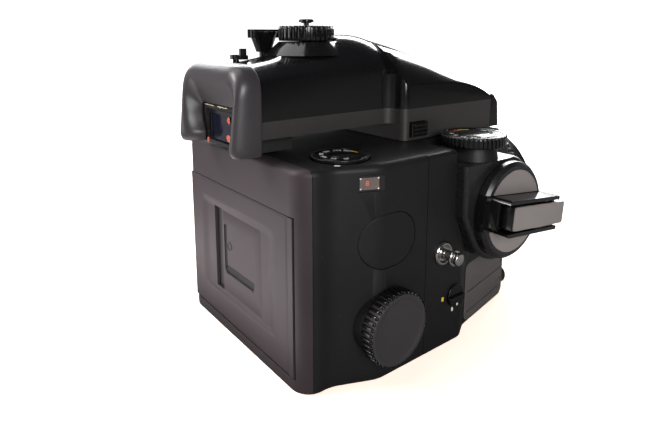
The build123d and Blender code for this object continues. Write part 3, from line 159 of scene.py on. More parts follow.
add_look("black_paint", (0.0065, 0.0064, 0.0072), (0.011, 0.0105, 0.011), (0.42, 0.52), 0.22, 0.006,
         Specular_IOR_Level=0.3)
# painted light: the rear faces' paint is lighter and warmer than the black paint, for the warm light on
# them
add_look("rear_paint_with_painted_light", (0.0265, 0.0192, 0.0215), (0.0365, 0.0268, 0.0298), (0.46, 0.56), 0.2, 0.007,
         Specular_IOR_Level=0.35)
add_look("knob_face", (0.026, 0.024, 0.0255), (0.036, 0.033, 0.035), (0.45, 0.55), 0.2, 0.007)
add_look("gloss_black", (0.0035, 0.0035, 0.004), (0.006, 0.0055, 0.0055), (0.10, 0.18), 3.0, 0.006)
add_look("satin_black", (0.009, 0.009, 0.0095), (0.015, 0.0145, 0.0148), (0.24, 0.34), 0.3, 0.004)
add_look("tunnel_paint", (0.028, 0.0262, 0.0252), (0.036, 0.034, 0.0325), (0.36, 0.44), 0.25, 0.005)
add_look("inner_black", (0.004, 0.004, 0.004), (0.009, 0.009, 0.009), (0.65, 0.85), 0.15, 0.01)
add_look("grip_rubber", (0.078, 0.066, 0.066), (0.102, 0.088, 0.087), (0.5, 0.62), 0.35, 0.02)
add_look("eyecup_rubber", (0.030, 0.0262, 0.0295), (0.043, 0.0382, 0.0418), (0.32, 0.44), 0.5, 0.012)
add_look("ring_rubber", (0.010, 0.010, 0.0105), (0.018, 0.0175, 0.0175), (0.48, 0.6), 0.3, 0.012)
add_look("curtain_cloth", (0.007, 0.007, 0.007), (0.015, 0.015, 0.015), (0.7, 0.85), 0.4, 0.04)
add_look("spool_plastic", (0.03, 0.03, 0.032), (0.05, 0.05, 0.05), (0.35, 0.5), 0.3, 0.006)
add_dust(looks["black_paint"])
add_dust(looks["rear_paint_with_painted_light"])
add_dust(looks["eyecup_rubber"], spacing=3.6)
print(len(looks), "dark finishes")

# %% Metals and glass
add_look("cap_grey", (0.26, 0.232, 0.222), (0.31, 0.28, 0.267), (0.30, 0.38), 0.12, 0.004, metallic=0.3)
add_look("chrome", (0.55, 0.53, 0.50), (0.66, 0.64, 0.61), (0.12, 0.18), 1.5, 0.001, metallic=1.0)
add_look("steel", (0.40, 0.40, 0.40), (0.56, 0.55, 0.54), (0.25, 0.38), 0.1, 0.004, metallic=1.0)
add_look("dark_steel", (0.05, 0.05, 0.052), (0.09, 0.088, 0.088), (0.25, 0.4), 0.1, 0.004, metallic=0.9)
add_look("mirror", (0.86, 0.87, 0.88), (0.93, 0.93, 0.94), (0.01, 0.03), 5, 0.001, metallic=1.0)
add_look("lens_glass", (0.86, 0.88, 0.95), (0.93, 0.90, 0.97), (0.0, 0.02), 8, 0.0005,
         Transmission_Weight=1.0, IOR=1.6, Coat_Weight=0.5, Coat_Tint=(0.55, 0.45, 0.95, 1))
add_look("window_glass", (0.006, 0.0045, 0.0045), (0.011, 0.008, 0.0075), (0.05, 0.12), 2, 0.004,
         Coat_Weight=0.5, Coat_Roughness=0.05)
add_look("eyepiece_glass", (0.0035, 0.004, 0.008), (0.006, 0.008, 0.018), (0.03, 0.08), 6, 0.0005,
         Specular_IOR_Level=0.3, Coat_Weight=0.15, Coat_Tint=(0.6, 0.7, 1.0, 1))
add_look("window_card", (0.085, 0.066, 0.060), (0.17, 0.135, 0.125), (0.12, 0.25), 0.3, 0.006)
add_look("screen_glass", (0.6, 0.62, 0.6), (0.75, 0.76, 0.72), (0.3, 0.42), 0.1, 0.01,
         Transmission_Weight=0.7)

# %% Print, and the old foam seal
print_colours = {
    "white_print": ((0.62, 0.62, 0.60), (0.78, 0.78, 0.76)),
    "yellow_print": ((0.62, 0.42, 0.03), (0.80, 0.58, 0.05)),
    "red_print": ((0.42, 0.02, 0.03), (0.60, 0.04, 0.05)),
    "teal_print": ((0.10, 0.26, 0.28), (0.16, 0.36, 0.38)),
    "cream_print": ((0.60, 0.50, 0.33), (0.75, 0.64, 0.45)),
    "orange_print": ((0.60, 0.14, 0.05), (0.75, 0.22, 0.08)),
}
for name, colours in print_colours.items():
    add_look(name, *colours, (0.4, 0.55), 0.15, 0.004)
add_look("orange_seal", (0.42, 0.06, 0.02), (0.60, 0.11, 0.04), (0.35, 0.5), 0.4, 0.02)
print(len(looks), "finishes in all")

# %% [markdown]
# ## Which finish each CAD node takes
# Most CAD nodes already have the right shape and keep it. Their material slot is simply
# given one of the finishes.

# %% Dress the CAD nodes
node_looks = {
    "black_paint": ["body_shell", "base_plate", "front_plate", "magazine_front_shell",
                    "thumb_pad", "dial_collar"],
    "rear_paint_with_painted_light": ["magazine_rear_cover", "magazine_door", "memo_holder"],
    "gloss_black": ["finder_upper_shell", "finder_front_cap", "crank_arm", "finder_release_button",
                    "meter_selector", "eyepiece_blind_lever", "multi_exposure_lever",
                    "shutter_dial", "compensation_dial", "iso_dial", "dial_lock_button",
                    "crank_handle"],
    "satin_black": ["crank_housing", "crank_hub", "lens_base", "aperture_ring",
                    "lens_front_barrel", "battery_door", "release_lock_collar"],
    "tunnel_paint": ["finder_lower_shell"],
    "knob_face": ["wind_knob"],
    "inner_black": ["mirror_box", "mirror_carrier", "shutter_frame", "film_insert",
                    "eyepiece_frame"],
    "grip_rubber": ["grip_panels"],
    "eyecup_rubber": ["eyecup"],
    "ring_rubber": ["focus_ring"],
    "chrome": ["strap_lugs", "lens_mount_ring"],
    "steel": ["base_screws", "tripod_socket", "shutter_rollers", "door_hinge_pin", "door_latch",
              "pressure_plate", "dark_slide", "release_button", "lens_release_button", "battery"],
    "dark_steel": ["iris_diaphragm"],
    "mirror": ["reflex_mirror"],
    "curtain_cloth": ["shutter_curtain"],
    "spool_plastic": ["take_up_spool", "supply_spool"],
    "lens_glass": ["lens_elements", "pentaprism"],
    "eyepiece_glass": ["eyepiece_lens"],
    "window_glass": ["film_window"],
    "screen_glass": ["focusing_screen"],
}
look_of_node = {name: look for look, names in node_looks.items() for name in names}
for name, look in look_of_node.items():
    nodes[name].data.materials.clear()
    nodes[name].data.materials.append(looks[look])
print(len(look_of_node), "of", len(nodes), "nodes dressed")

# %% [markdown]
# ## Adding a piece
# Each finer piece rides with the body of its CAD node. A piece that replaces its node has the node's
# finish and stands for it, while the node stays for the physics.
# A detail only lies on its node, and has a finish of its own.

# %% Pieces and details
bodies = frame["record"]["behaviour"]["bodies"]
body_of_node = {node: body for body, group in bodies.items() for node in group}


def new_object(name, data):
    thing = bpy.data.objects.new(name, data)
    bpy.context.scene.collection.objects.link(thing)
    return thing


def add_piece(mesh, name, node, look=None, replaces=True):
    """a finished piece; a detail with no look keeps the finish that its mesh has"""
    piece = new_object(name, mesh)
    if replaces:
        look = look_of_node[node]
    if look:
        mesh.materials.clear()
        mesh.materials.append(looks[look])
    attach(piece, body_of_node[node])
    if replaces:
        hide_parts(node)
    print(name, len(mesh.polygons), "faces")


def add_detail(mesh, name, node, look=None):
    add_piece(mesh, name, node, look, replaces=False)


# %% [markdown]
# Every shape is drawn in a bmesh or by modifiers on a working object. These helpers turn
# either into a plain mesh. Smooth shading with sharp edges suits all hard parts.

# %% From shapes to meshes
def as_mesh(shape, name, outward=False):
    """the mesh of a bmesh; outward makes the faces of a closed shape point out"""
    if outward:
        bmesh.ops.recalc_face_normals(shape, faces=shape.faces)
    mesh = bpy.data.meshes.new(name)
    shape.to_mesh(mesh)
    shape.free()
    return mesh


def modified_mesh(work):
    """the plain mesh that the modifiers or the text of a working object make"""
    graph = bpy.context.evaluated_depsgraph_get()
    mesh = bpy.data.meshes.new_from_object(work.evaluated_get(graph))
    bpy.data.objects.remove(work)
    return mesh


def smooth_faces(mesh, sharp=35):
    """smooth shading, with an edge left sharp where it turns by more degrees than sharp"""
    mesh.shade_smooth()
    mesh.set_sharp_from_angle(angle=radians(sharp))
    return mesh


def joined(meshes, name):
    whole = bmesh.new()
    for mesh in meshes:
        whole.from_mesh(mesh)
    return smooth_faces(as_mesh(whole, name))


# %% [markdown]
# ## Soft edges
# A moulded or cast part has no truly sharp edge, and on black parts the thin bright line
# along each edge is most of what the eye sees. The CAD edges are sharp, so the shells
# that show are copied, their triangles merged back into flat faces, and their edges
# rounded with a Bevel modifier. Hardened normals keep the flat faces flat in the
# reflections.

# %% A copy with rounded edges
edge_turn = 28


def round_edges(name, width):
    """width is how far, in millimetres, the rounding reaches from an edge"""
    source = bmesh.new()
    source.from_mesh(nodes[name].data)
    bmesh.ops.remove_doubles(source, verts=source.verts, dist=0.002 * mm)
    bmesh.ops.dissolve_limit(
        source, angle_limit=radians(0.6), verts=source.verts, edges=source.edges, delimit={"NORMAL"}
    )
    work = new_object("work", smooth_faces(as_mesh(source, name + "_soft"), edge_turn))
    bevel = work.modifiers.new("edges", "BEVEL")
    bevel.width = width * mm
    bevel.segments = 2
    bevel.limit_method = "ANGLE"
    bevel.angle_limit = radians(edge_turn)
    bevel.use_clamp_overlap = True
    bevel.harden_normals = True
    add_piece(modified_mesh(work), name + "_soft", name)


# %% Round the shells
shells = {
    "body_shell": 0.25, "magazine_front_shell": 0.2, "magazine_rear_cover": 0.2,
    "thumb_pad": 0.25, "finder_upper_shell": 0.15, "finder_lower_shell": 0.15,
    "finder_front_cap": 0.35, "crank_housing": 0.2, "crank_arm": 0.3, "crank_hub": 0.15,
    "grip_panels": 0.35, "dial_collar": 0.15, "multi_exposure_lever": 0.12,
    "meter_selector": 0.15, "eyepiece_blind_lever": 0.15, "front_plate": 0.2, "base_plate": 0.2,
    "lens_mount_ring": 0.12, "eyepiece_frame": 0.12, "dial_lock_button": 0.15,
    "release_button": 0.12, "lens_release_button": 0.15, "battery_door": 0.15,
    "door_latch": 0.15,
}
for name, width in shells.items():
    round_edges(name, width)

# %% [markdown]
# ## Turned parts
# Knobs, dials and lens rings come off a lathe, so they are made the same way here: a
# profile is drawn as radius and height, its corners are softened, and it is spun round
# the Z axis. The mesh is made in millimetres, then moved to its place and scaled to
# metres in one step, so the finished object itself stays at the origin.

# %% Soften a line's corners
def soften(points, reach, closed=False):
    """each corner of a line becomes a small curve that starts reach away from it"""
    count = len(points)
    curve = []
    for i, (x, y) in enumerate(points):
        if not closed and i in (0, count - 1):
            curve.append((x, y))
            continue
        ends = []
        for other in (points[i - 1], points[(i + 1) % count]):
            length = sqrt((other[0] - x) ** 2 + (other[1] - y) ** 2)
            share = min(reach, 0.45 * length) / length
            ends.append((x + (other[0] - x) * share, y + (other[1] - y) * share))
        middle = [0.5 * p + 0.25 * (a + b) for p, a, b in zip((x, y), *ends)]
        curve += [ends[0], tuple(middle), ends[1]]
    return curve


# %% Skin rings of points, and spin a profile
def skin(shape, rings, closed=False, capped=False):
    """faces from each ring of points to the next, then back to the first, or two caps"""
    for low, high in zip(rings, rings[1:] + (rings[:1] if closed else [])):
        for i in range(len(low)):
            k = (i + 1) % len(low)
            corners = dict.fromkeys((low[i], low[k], high[k], high[i]))
            shape.faces.new(list(corners))
    if capped:
        shape.faces.new(rings[0])
        shape.faces.new(rings[-1])


def spin(profile, steps=96, closed=False):
    """a profile spun round Z; a point on the axis becomes one pole"""
    shape = bmesh.new()
    turns = [tau * i / steps for i in range(steps)]
    rings = []
    for radius, height in profile:
        if radius < 1e-6:
            rings.append([shape.verts.new((0, 0, height))] * steps)
        else:
            rings.append([shape.verts.new((radius * cos(a), radius * sin(a), height)) for a in turns])
    skin(shape, rings, closed)
    return smooth_faces(as_mesh(shape, "turned", outward=True))


# %% The profile of a plain rod
def rod(radius, low, high):
    """out from the axis, along the side and back in; a low one is a disc"""
    return [(0, low), (radius, low), (radius, high), (0, high)]


# %% Set a mesh down on the camera
straight_up, to_rear, to_front, to_right = (0, 0, 1), (0, 1, 0), (0, -1, 0), (-1, 0, 0)


def box_mm(node):
    return [Vector(corner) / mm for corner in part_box(node)]


def in_metres(mesh):
    mesh.transform(Matrix.Scale(mm, 4))
    return mesh


def set_down(mesh, centre, outward, up=straight_up):
    """from millimetres at the origin to metres at centre, with Z pointing outward"""
    z = Vector(outward).normalized()
    if abs(Vector(up).dot(z)) > 0.99:
        up = to_rear
    y = (Vector(up) - z * Vector(up).dot(z)).normalized()
    x = y.cross(z)
    turn = Matrix((x, y, z)).transposed().to_4x4()
    mesh.transform(Matrix.Translation(Vector(centre) * mm) @ turn @ Matrix.Scale(mm, 4))
    return mesh


# %% [markdown]
# ## Ribs
# Every control on this camera is ribbed for the finger. One Geometry Nodes tree makes all
# of them: a circle of points, one soft-cornered bar on each point, turned to face
# outwards. The bar is a cube whose subdivision is held back by an edge crease, which
# rounds it like a moulded rib. The count and the sizes are the tree's inputs.

# %% A tree with named inputs
rib_tree = bpy.data.node_groups.new("ribs_around_a_disc", "GeometryNodeTree")
rib_tree.interface.new_socket("Geometry", in_out="OUTPUT", socket_type="NodeSocketGeometry")
rib_inputs = {
    "Count": "Int", "Radius": "Float", "Depth": "Float", "Width": "Float", "Length": "Float",
    "Finish": "Material",
}
for label, kind in rib_inputs.items():
    rib_tree.interface.new_socket(label, in_out="INPUT", socket_type="NodeSocket" + kind)
sizes = rib_tree.nodes.new("NodeGroupInput").outputs

# %% One soft bar
bar_size = add_node(rib_tree, "ShaderNodeCombineXYZ", {
    "X": sizes["Depth"], "Y": sizes["Width"], "Z": sizes["Length"],
})
cube = add_node(rib_tree, "GeometryNodeMeshCube", {"Size": bar_size.outputs["Vector"]})
soft_bar = add_node(rib_tree, "GeometryNodeSubdivisionSurface", {
    "Mesh": cube.outputs["Mesh"], "Level": 2, "Edge Crease": 0.72,
})

# %% A bar on each point of a circle
feet = add_node(rib_tree, "GeometryNodeMeshCircle", {
    "Vertices": sizes["Count"], "Radius": sizes["Radius"],
}, fill_type="NONE")
bar_step = add_node(rib_tree, "ShaderNodeMath", {0: tau, 1: sizes["Count"]}, operation="DIVIDE")
index = add_node(rib_tree, "GeometryNodeInputIndex")
bar_angle = add_node(rib_tree, "ShaderNodeMath", {0: index.outputs[0], 1: bar_step.outputs[0]},
                     operation="MULTIPLY")
bar_turn = add_node(rib_tree, "ShaderNodeCombineXYZ", {"Z": bar_angle.outputs[0]})
all_bars = add_node(rib_tree, "GeometryNodeInstanceOnPoints", {
    "Points": feet.outputs["Mesh"], "Instance": soft_bar.outputs["Mesh"],
    "Rotation": bar_turn.outputs["Vector"],
})
real = add_node(rib_tree, "GeometryNodeRealizeInstances", {"Geometry": all_bars.outputs["Instances"]})
dressed = add_node(rib_tree, "GeometryNodeSetMaterial", {
    "Geometry": real.outputs["Geometry"], "Material": sizes["Finish"],
})
add_node(rib_tree, "NodeGroupOutput", {"Geometry": dressed.outputs["Geometry"]})
print(rib_tree.name, len(rib_tree.nodes), "nodes")

# %% Ribs as a plain mesh
def ribs(count, radius, depth, width, length, lift, look="gloss_black"):
    """a ring of ribs round the Z axis, whose middle is at the height lift"""
    values = {
        "Count": count, "Radius": radius, "Depth": depth, "Width": width, "Length": length,
        "Finish": looks[look],
    }
    work = new_object("work", bpy.data.meshes.new("ribs"))
    modifier = work.modifiers.new("tree", "NODES")
    modifier.node_group = rib_tree
    for item in rib_tree.interface.items_tree:
        if item.in_out == "INPUT":
            modifier[item.identifier] = values[item.name]
    mesh = modified_mesh(work)
    mesh.transform(Matrix.Translation((0, 0, lift)))
    mesh.shade_smooth()
    return mesh


# %% [markdown]
# ## Printed numbers
# The numbers on a dial are pad-printed: a film of paint a few hundredths of a millimetre
# thick. Each number here is Blender text with that thickness, made a mesh and set down
# on its dial. Several numbers share one piece, so a dial gets one piece of print for
# each colour. Only plain numbers and plain marks are printed.

# %% A number, a bar and a dot
paint_thickness = 0.03


def number_mesh(text, size):
    letters = bpy.data.curves.new("letters", "FONT")
    letters.body = text
    letters.size = size
    letters.align_x = "CENTER"
    letters.align_y = "CENTER"
    letters.extrude = paint_thickness / 2
    letters.resolution_u = 3
    mesh = modified_mesh(new_object("letters", letters))
    mesh.transform(Matrix.Translation((0, 0, paint_thickness / 2)))
    return mesh


def mark_mesh(width, height, thickness=paint_thickness):
    shape = bmesh.new()
    bmesh.ops.create_cube(shape, size=1)
    bmesh.ops.scale(shape, vec=(width, height, thickness), verts=shape.verts)
    bmesh.ops.translate(shape, vec=(0, 0, thickness / 2), verts=shape.verts)
    return as_mesh(shape, "mark")


def dot_mesh(radius, thickness=paint_thickness):
    return spin(rod(radius, 0, thickness), steps=20)


# %% Print on a node, and numbers round a dial
def print_piece(name, node, look, meshes):
    add_detail(joined(meshes, name), name, node, look)


def dial_numbers(centre, radius, entries, size, start=0.0, step=None):
    """numbers round a dial's top, each with its feet toward the rim"""
    meshes = []
    step = step or 360 / len(entries)
    for i, text in enumerate(entries):
        if not text:
            continue
        angle = radians(start + step * i)
        outward = Vector((sin(angle), cos(angle), 0))
        spot = Vector(centre) + outward * radius
        meshes.append(set_down(number_mesh(text, size), spot, straight_up, up=-outward))
    return meshes


# %% [markdown]
# ## Film winding knob
# A plastic knob with forty ribs round a matte, slightly dished face. The face has a flat
# raised rim, and the ribs run up to it, so the rim looks like a fine saw blade. The ribs
# are glossy where fingers polish them, so they are a piece of their own. The three dials
# that follow are made by the same helper.

# %% A spun body with its ribs
def add_dial(node, centre, outward, profile, rib_ring, steps=96, ribs_named="ribs"):
    add_piece(set_down(spin(profile, steps), centre, outward), node + "_turned", node)
    add_detail(set_down(rib_ring, centre, outward), node + "_" + ribs_named, node)


# %% Winding knob
knob_centre = (-52.0, 45.5, 21.8)
knob_profile = soften([
    (0, -22.6), (2.4, -22.6), (2.4, 1.3), (13.0, 1.3), (13.0, 6.5), (12.9, 6.75), (11.6, 6.75),
    (10.7, 6.35), (7.5, 6.1), (0, 6.0),
], 0.3)
knob_ribs = ribs(40, radius=13.15, depth=1.4, width=1.25, length=5.35, lift=4.0)
add_dial("wind_knob", knob_centre, to_right, knob_profile, knob_ribs, steps=160)

# %% [markdown]
# ## Shutter dial
# Forty-four glossy ribs round a lowered top, with the speeds printed round its edge in
# white. A few entries are yellow, red or blue-green, as on the real dial, where colours
# mark the flash speed and the modes.

# %% Shutter dial
dial_centre = (-47.1, -5.8, 0)
dial_profile = soften([
    (0, 66.3), (3.0, 66.3), (3.0, 79.6), (11.9, 79.6), (12.4, 80.0), (12.4, 83.8), (12.1, 84.1),
    (11.3, 84.1), (11.1, 83.75), (5.9, 83.75), (5.7, 84.0), (0, 84.05),
], 0.15)
dial_ribs = ribs(44, radius=12.45, depth=1.1, width=1.2, length=4.3, lift=81.85)
add_dial("shutter_dial", dial_centre, straight_up, dial_profile, dial_ribs, steps=128)

# %% Numbers and marks on its rim
speeds = ["500", "250", "125", "60", "30", "15", "8", "4", "2", "1", "", "", "", ""]
dial_top = (-47.1, -5.8, 83.76)
speed_radius, speed_start = 8.9, -140


def speed_numbers(places, size):
    """the speeds at these places of the list, and none of the others"""
    shown = [text if i in places else "" for i, text in enumerate(speeds)]
    return dial_numbers(dial_top, speed_radius, shown, size, start=speed_start)


def rim_mark(angle, width, height):
    out = Vector((sin(radians(angle)), cos(radians(angle)), 0))
    spot = Vector(dial_top) + speed_radius * out
    return set_down(mark_mesh(width, height), spot, straight_up, up=out)


print_piece("shutter_dial_white", "shutter_dial", "white_print", speed_numbers(range(8), 2.5))
print_piece("shutter_dial_red", "shutter_dial", "red_print",
            speed_numbers([8], 2.9) + [rim_mark(84, 2.4, 0.9), rim_mark(226, 2.4, 0.8)])
print_piece("shutter_dial_yellow", "shutter_dial", "yellow_print",
            speed_numbers([9], 2.9) + [rim_mark(106, 3.0, 0.9), rim_mark(122, 2.4, 0.8)])
print_piece("shutter_dial_teal", "shutter_dial", "teal_print", [rim_mark(170, 2.4, 0.8)])

# %% [markdown]
# ## Exposure compensation dial
# The dial on the finder's roof is deeper than the shutter dial and its ribs are broader,
# so that it can be turned with one finger from behind. The lock button stands over its
# middle on a pin, which runs in a bore, so the profile has that bore too.

# %% Compensation dial
comp_centre = (0, 42.8, 0)
comp_profile = soften([
    (0, 112.3), (3.0, 112.3), (3.0, 120.4), (10.1, 120.4), (10.5, 120.8), (10.5, 126.0),
    (10.2, 126.35), (9.7, 126.35), (9.4, 126.05), (4.2, 126.05), (4.0, 126.2), (1.16, 126.2),
    (1.16, 121.9), (0, 121.9),
], 0.15)
comp_ribs = ribs(30, radius=10.6, depth=1.2, width=1.45, length=5.9, lift=123.4)
add_dial("compensation_dial", comp_centre, straight_up, comp_profile, comp_ribs)
comp_top = (0, 42.8, 126.06)
comp_steps = ["0", "1", "2", "3", "", "3", "2", "1"]
print_piece("compensation_dial_white", "compensation_dial", "white_print",
            dial_numbers(comp_top, 6.9, comp_steps, 2.2))

# %% [markdown]
# ## Film speed dial
# A flat dial let into the magazine's top. Its rim has fine teeth, and its numbers are
# printed in white, with one yellow mark. A white mark on the magazine points at it.

# %% Film speed dial
iso_centre = (-35.5, 54.0, 0)
iso_profile = soften([
    (0, 76.1), (2.5, 76.1), (2.5, 78.1), (10.0, 78.1), (10.0, 81.3), (9.7, 81.65), (9.0, 81.65),
    (8.8, 81.45), (4.6, 81.45), (4.4, 81.65), (0, 81.7),
], 0.12)
iso_teeth = ribs(60, radius=10.05, depth=0.8, width=0.6, length=1.25, lift=80.95)
add_dial("iso_dial", iso_centre, straight_up, iso_profile, iso_teeth, ribs_named="teeth")
film_speeds = ["25", "50", "100", "200", "400", "800", "1600", "", ""]
iso_top, magazine_top = 81.46, 80.31
print_piece("iso_dial_white", "iso_dial", "white_print",
            dial_numbers((-35.5, 54.0, iso_top), 6.7, film_speeds, 2.1, start=-70, step=38))
print_piece("iso_dial_yellow", "iso_dial", "yellow_print",
            [set_down(mark_mesh(3.6, 0.6), (-35.0, 46.9, iso_top), straight_up, up=to_rear)])
toward_dial = (0.62, -0.78, 0)
print_piece("iso_index", "magazine_front_shell", "white_print",
            [set_down(mark_mesh(1.9, 1.3), (-44.3, 62.2, magazine_top), straight_up, up=toward_dial)])

# %% [markdown]
# ## Rubber eyecup
# The eyecup is the nearest thing to the viewer. It is an upside-down U of soft rubber
# that leans back a little at its top. Three outlines guide it: the opening round the
# eyepiece, the crest of its thick lip, and its outer wall. A cross-section is carried
# along them, and shrinks at both feet to give them round ends. Subdivision then makes it
# flow like moulded rubber.

# %% The three outlines of the eyecup
foot_z, foot_round = 81.6, 4.0
leg_low = foot_z + foot_round
foot_curl, curl_height = 3.0, 8.0
leg_steps, turn_steps, top_steps = 8, 6, 5


def arch(half_width, top, corner):
    """an upside-down U, from the foot of its left leg to the foot of its right one"""
    bend = top - corner
    half = [(half_width, leg_low + (bend - leg_low) * i / leg_steps) for i in range(leg_steps)]
    for i in range(turn_steps + 1):
        a = pi / 2 * i / turn_steps
        half.append((half_width - corner + corner * cos(a), bend + corner * sin(a)))
    half += [((half_width - corner) * (1 - i / top_steps), top) for i in range(1, top_steps + 1)]
    return half + [(-x, z) for x, z in reversed(half[:-1])]


def curled(points):
    """both legs bend inward as they near their feet"""
    bends = [foot_curl * max(1 - (z - leg_low) / curl_height, 0) ** 2 for x, z in points]
    return [(x - bend * (1 if x > 0 else -1), z) for (x, z), bend in zip(points, bends)]


opening, crest, wall = arch(17.4, 97.1, 1.6), arch(20.9, 108.4, 7.5), arch(23.95, 112.95, 9.0)
outlines = list(zip(curled(opening), crest, wall))
print(len(outlines), "stations along the eyecup")

# %% [markdown]
# The lip isn't the same all round: it is fat and round on the legs, and over the eyepiece
# it is a long slope. So there are two cross-sections, and the one at a station is a blend
# of them by the station's height. In each point, the first number is the place across,
# from 0 at the opening through 1 at the crest to 2 at the wall, and the second is Y.

# %% Two sections, blended by height
leg_section = [
    (0.3, 80.6), (0.0, 80.9), (0.0, 81.8), (0.04, 83.2), (0.13, 84.9), (0.28, 86.5),
    (0.48, 87.8), (0.72, 88.7), (0.96, 89.05), (1.25, 88.85), (1.55, 88.0), (1.82, 86.3),
    (1.96, 84.0), (2.0, 81.4), (2.0, 79.2), (2.0, 78.0), (1.1, 78.0), (0.3, 78.0),
]
arch_section = [
    (0.2, 80.6), (0.0, 80.8), (0.0, 81.3), (0.12, 82.1), (0.36, 83.7), (0.60, 85.4),
    (0.78, 87.0), (0.92, 88.3), (1.1, 88.95), (1.35, 88.8), (1.62, 88.0), (1.86, 86.4),
    (1.97, 84.2), (2.0, 81.6), (2.0, 79.2), (2.0, 78.0), (1.1, 78.0), (0.2, 78.0),
]
cup_back, cup_height = 78.0, 31.4
leg_top_z, arch_top_z = 97.0, 108.4


def section_at(z):
    share = min(max((z - leg_top_z) / (arch_top_z - leg_top_z), 0), 1)
    return [(a[0] + (b[0] - a[0]) * share, a[1] + (b[1] - a[1]) * share)
            for a, b in zip(leg_section, arch_section)]


def lean(z):
    """the cup is deeper at its feet than at its top"""
    return 1.03 - 0.28 * (z - foot_z) / cup_height


# %% The eyecup's surface
def cup_ring(shape, station, drop=0.0, pull=0.0):
    """one closed section; pull from 0 to 1 draws it in toward a rounded foot"""
    inner, crest, outer = station
    ring = []
    for across, y in section_at(crest[1]):
        across = across * (1 - 0.34 * pull) + 0.3 * pull
        low, high, share = (inner, crest, across) if across < 1 else (crest, outer, across - 1)
        x = low[0] + (high[0] - low[0]) * share
        z = low[1] + (high[1] - low[1]) * share - drop
        y = cup_back + (y - cup_back) * (1 - 0.2 * pull) * lean(z)
        ring.append(shape.verts.new((x, y, z)))
    return ring


def eyecup_mesh():
    shape = bmesh.new()
    quarter = [pi / 2 * k / 5 for k in range(5, 0, -1)]
    foot = [(foot_round * sin(a), 1 - cos(a)) for a in quarter]
    rings = [cup_ring(shape, outlines[0], *values) for values in foot]
    rings += [cup_ring(shape, station) for station in outlines]
    rings += [cup_ring(shape, outlines[-1], *values) for values in reversed(foot)]
    skin(shape, rings, capped=True)
    work = new_object("work", in_metres(as_mesh(shape, "eyecup_hood", outward=True)))
    rubber = work.modifiers.new("rubber", "SUBSURF")
    rubber.levels = rubber.render_levels = 2
    soft = modified_mesh(work)
    soft.shade_smooth()
    return soft


add_piece(eyecup_mesh(), "eyecup_hood", "eyecup")

# %% [markdown]
# ## Bars round the eyepiece
# The small window is set in glossy black bars of its own, with a thin raised rim outside
# them. Each is a flat frame between two rounded loops.

# %% Eyepiece bars
def rounded_loop(half_width, half_height, corner, steps=5):
    points = []
    for sx, sy, start in ((1, 1, 0), (-1, 1, 90), (-1, -1, 180), (1, -1, 270)):
        for i in range(steps + 1):
            a = radians(start + 90 * i / steps)
            points.append((sx * (half_width - corner) + corner * cos(a),
                           sy * (half_height - corner) + corner * sin(a)))
    return points


def frame_mesh(outer, inner, thickness):
    """a flat frame between two loops with the same number of points"""
    shape = bmesh.new()
    eased = [(0.985 * x, 0.985 * y) for x, y in outer]
    sides = ((outer, 0), (outer, thickness * 0.8), (eased, thickness), (inner, thickness), (inner, 0))
    rings = [[shape.verts.new((x, y, z)) for x, y in loop] for loop, z in sides]
    skin(shape, rings, closed=True)
    return as_mesh(shape, "frame", outward=True)


bars_y = 80.4
bars = frame_mesh(rounded_loop(14.6, 6.7, 0.8), rounded_loop(11.3, 5.3, 0.8), 0.5)
rim = frame_mesh(rounded_loop(17.4, 7.6, 0.8), rounded_loop(16.9, 7.1, 0.6), 0.3)
for name, mesh, z in (("eyepiece_bars", bars, 88.35), ("eyepiece_rim", rim, 89.3)):
    add_detail(set_down(mesh, (0, bars_y, z), to_rear), name, "eyepiece_frame", "gloss_black")

# %% [markdown]
# Crumbs of an old foam seal hang round the eyepiece: a few large orange ones, and pale
# ones in a broken line along the top. A crumb is a ball whose points waves push in and
# out, which gives the same lumps on every run.

# %% Crumbs of the old seal
def crumb_mesh(centre, size, phase):
    shape = bmesh.new()
    bmesh.ops.create_icosphere(shape, subdivisions=2, radius=1)
    for vert in shape.verts:
        x, y, z = vert.co
        vert.co *= 1 + 0.16 * sin(5 * x + phase) * cos(4 * z + 2 * phase) + 0.1 * sin(7 * y + phase)
    bmesh.ops.scale(shape, vec=size, verts=shape.verts)
    bmesh.ops.translate(shape, vec=centre, verts=shape.verts)
    return in_metres(as_mesh(shape, "crumb"))


def line_crumb(i):
    """the line is broken where two crumbs fell out, and one crumb is thicker"""
    thick = 0.28 if i == 8 else 0.16
    return crumb_mesh((14.6 - 1.55 * i, 80.75, 96.35 + 0.2 * sin(3.1 * i)),
                      (0.75 + 0.2 * sin(2.3 * i), 0.2, thick), i)


orange_crumbs = [
    crumb_mesh((-3.4, 80.5, 85.2), (1.7, 0.4, 1.35), 0.4),
    crumb_mesh((-3.8, 80.5, 92.0), (1.1, 0.35, 1.2), 1.7),
    crumb_mesh((12.9, 80.95, 82.6), (0.8, 0.3, 1.0), 2.9),
]
print_piece("seal_crumbs", "eyepiece_frame", "orange_seal", orange_crumbs)
pale_crumbs = [line_crumb(i) for i in range(12) if i not in (5, 6)]
print_piece("seal_line", "eyepiece_frame", "cream_print", pale_crumbs)

# %% [markdown]
# ## Magazine door
# The door has a wide shallow dish for the memo holder. On the real door the dish has no
# edge: the plastic rolls down into it over a few millimetres. The front face is therefore
# a grid whose points sink by a smooth step of their distance into the dish. The slot at
# the holder's left and the holder's bed have upright sides, so two lines of the grid lie
# close together at each of their edges.

# %% How deep the door's face lies
door_face_y, door_back_y = 77.0, 74.1
door_low, door_high = (-36.0, 5.6), (40.6, 63.6)
dish_low, dish_high = (-28.0, 15.4), (31.5, 56.6)
dish_rolls = {"right": 6.5, "left": 5.5, "bottom": 1.6, "top": 4.5}
dish_sink = 1.0
slot_low, slot_high, slot_depth = (13.9, 17.4), (20.3, 52.9), 2.3
bed_low, bed_high, bed_depth = (-11.5, 26.4), (12.3, 47.3), 1.5


def rolled(distance, roll):
    share = min(max(distance / roll, 0), 1)
    return share * share * (3 - 2 * share)


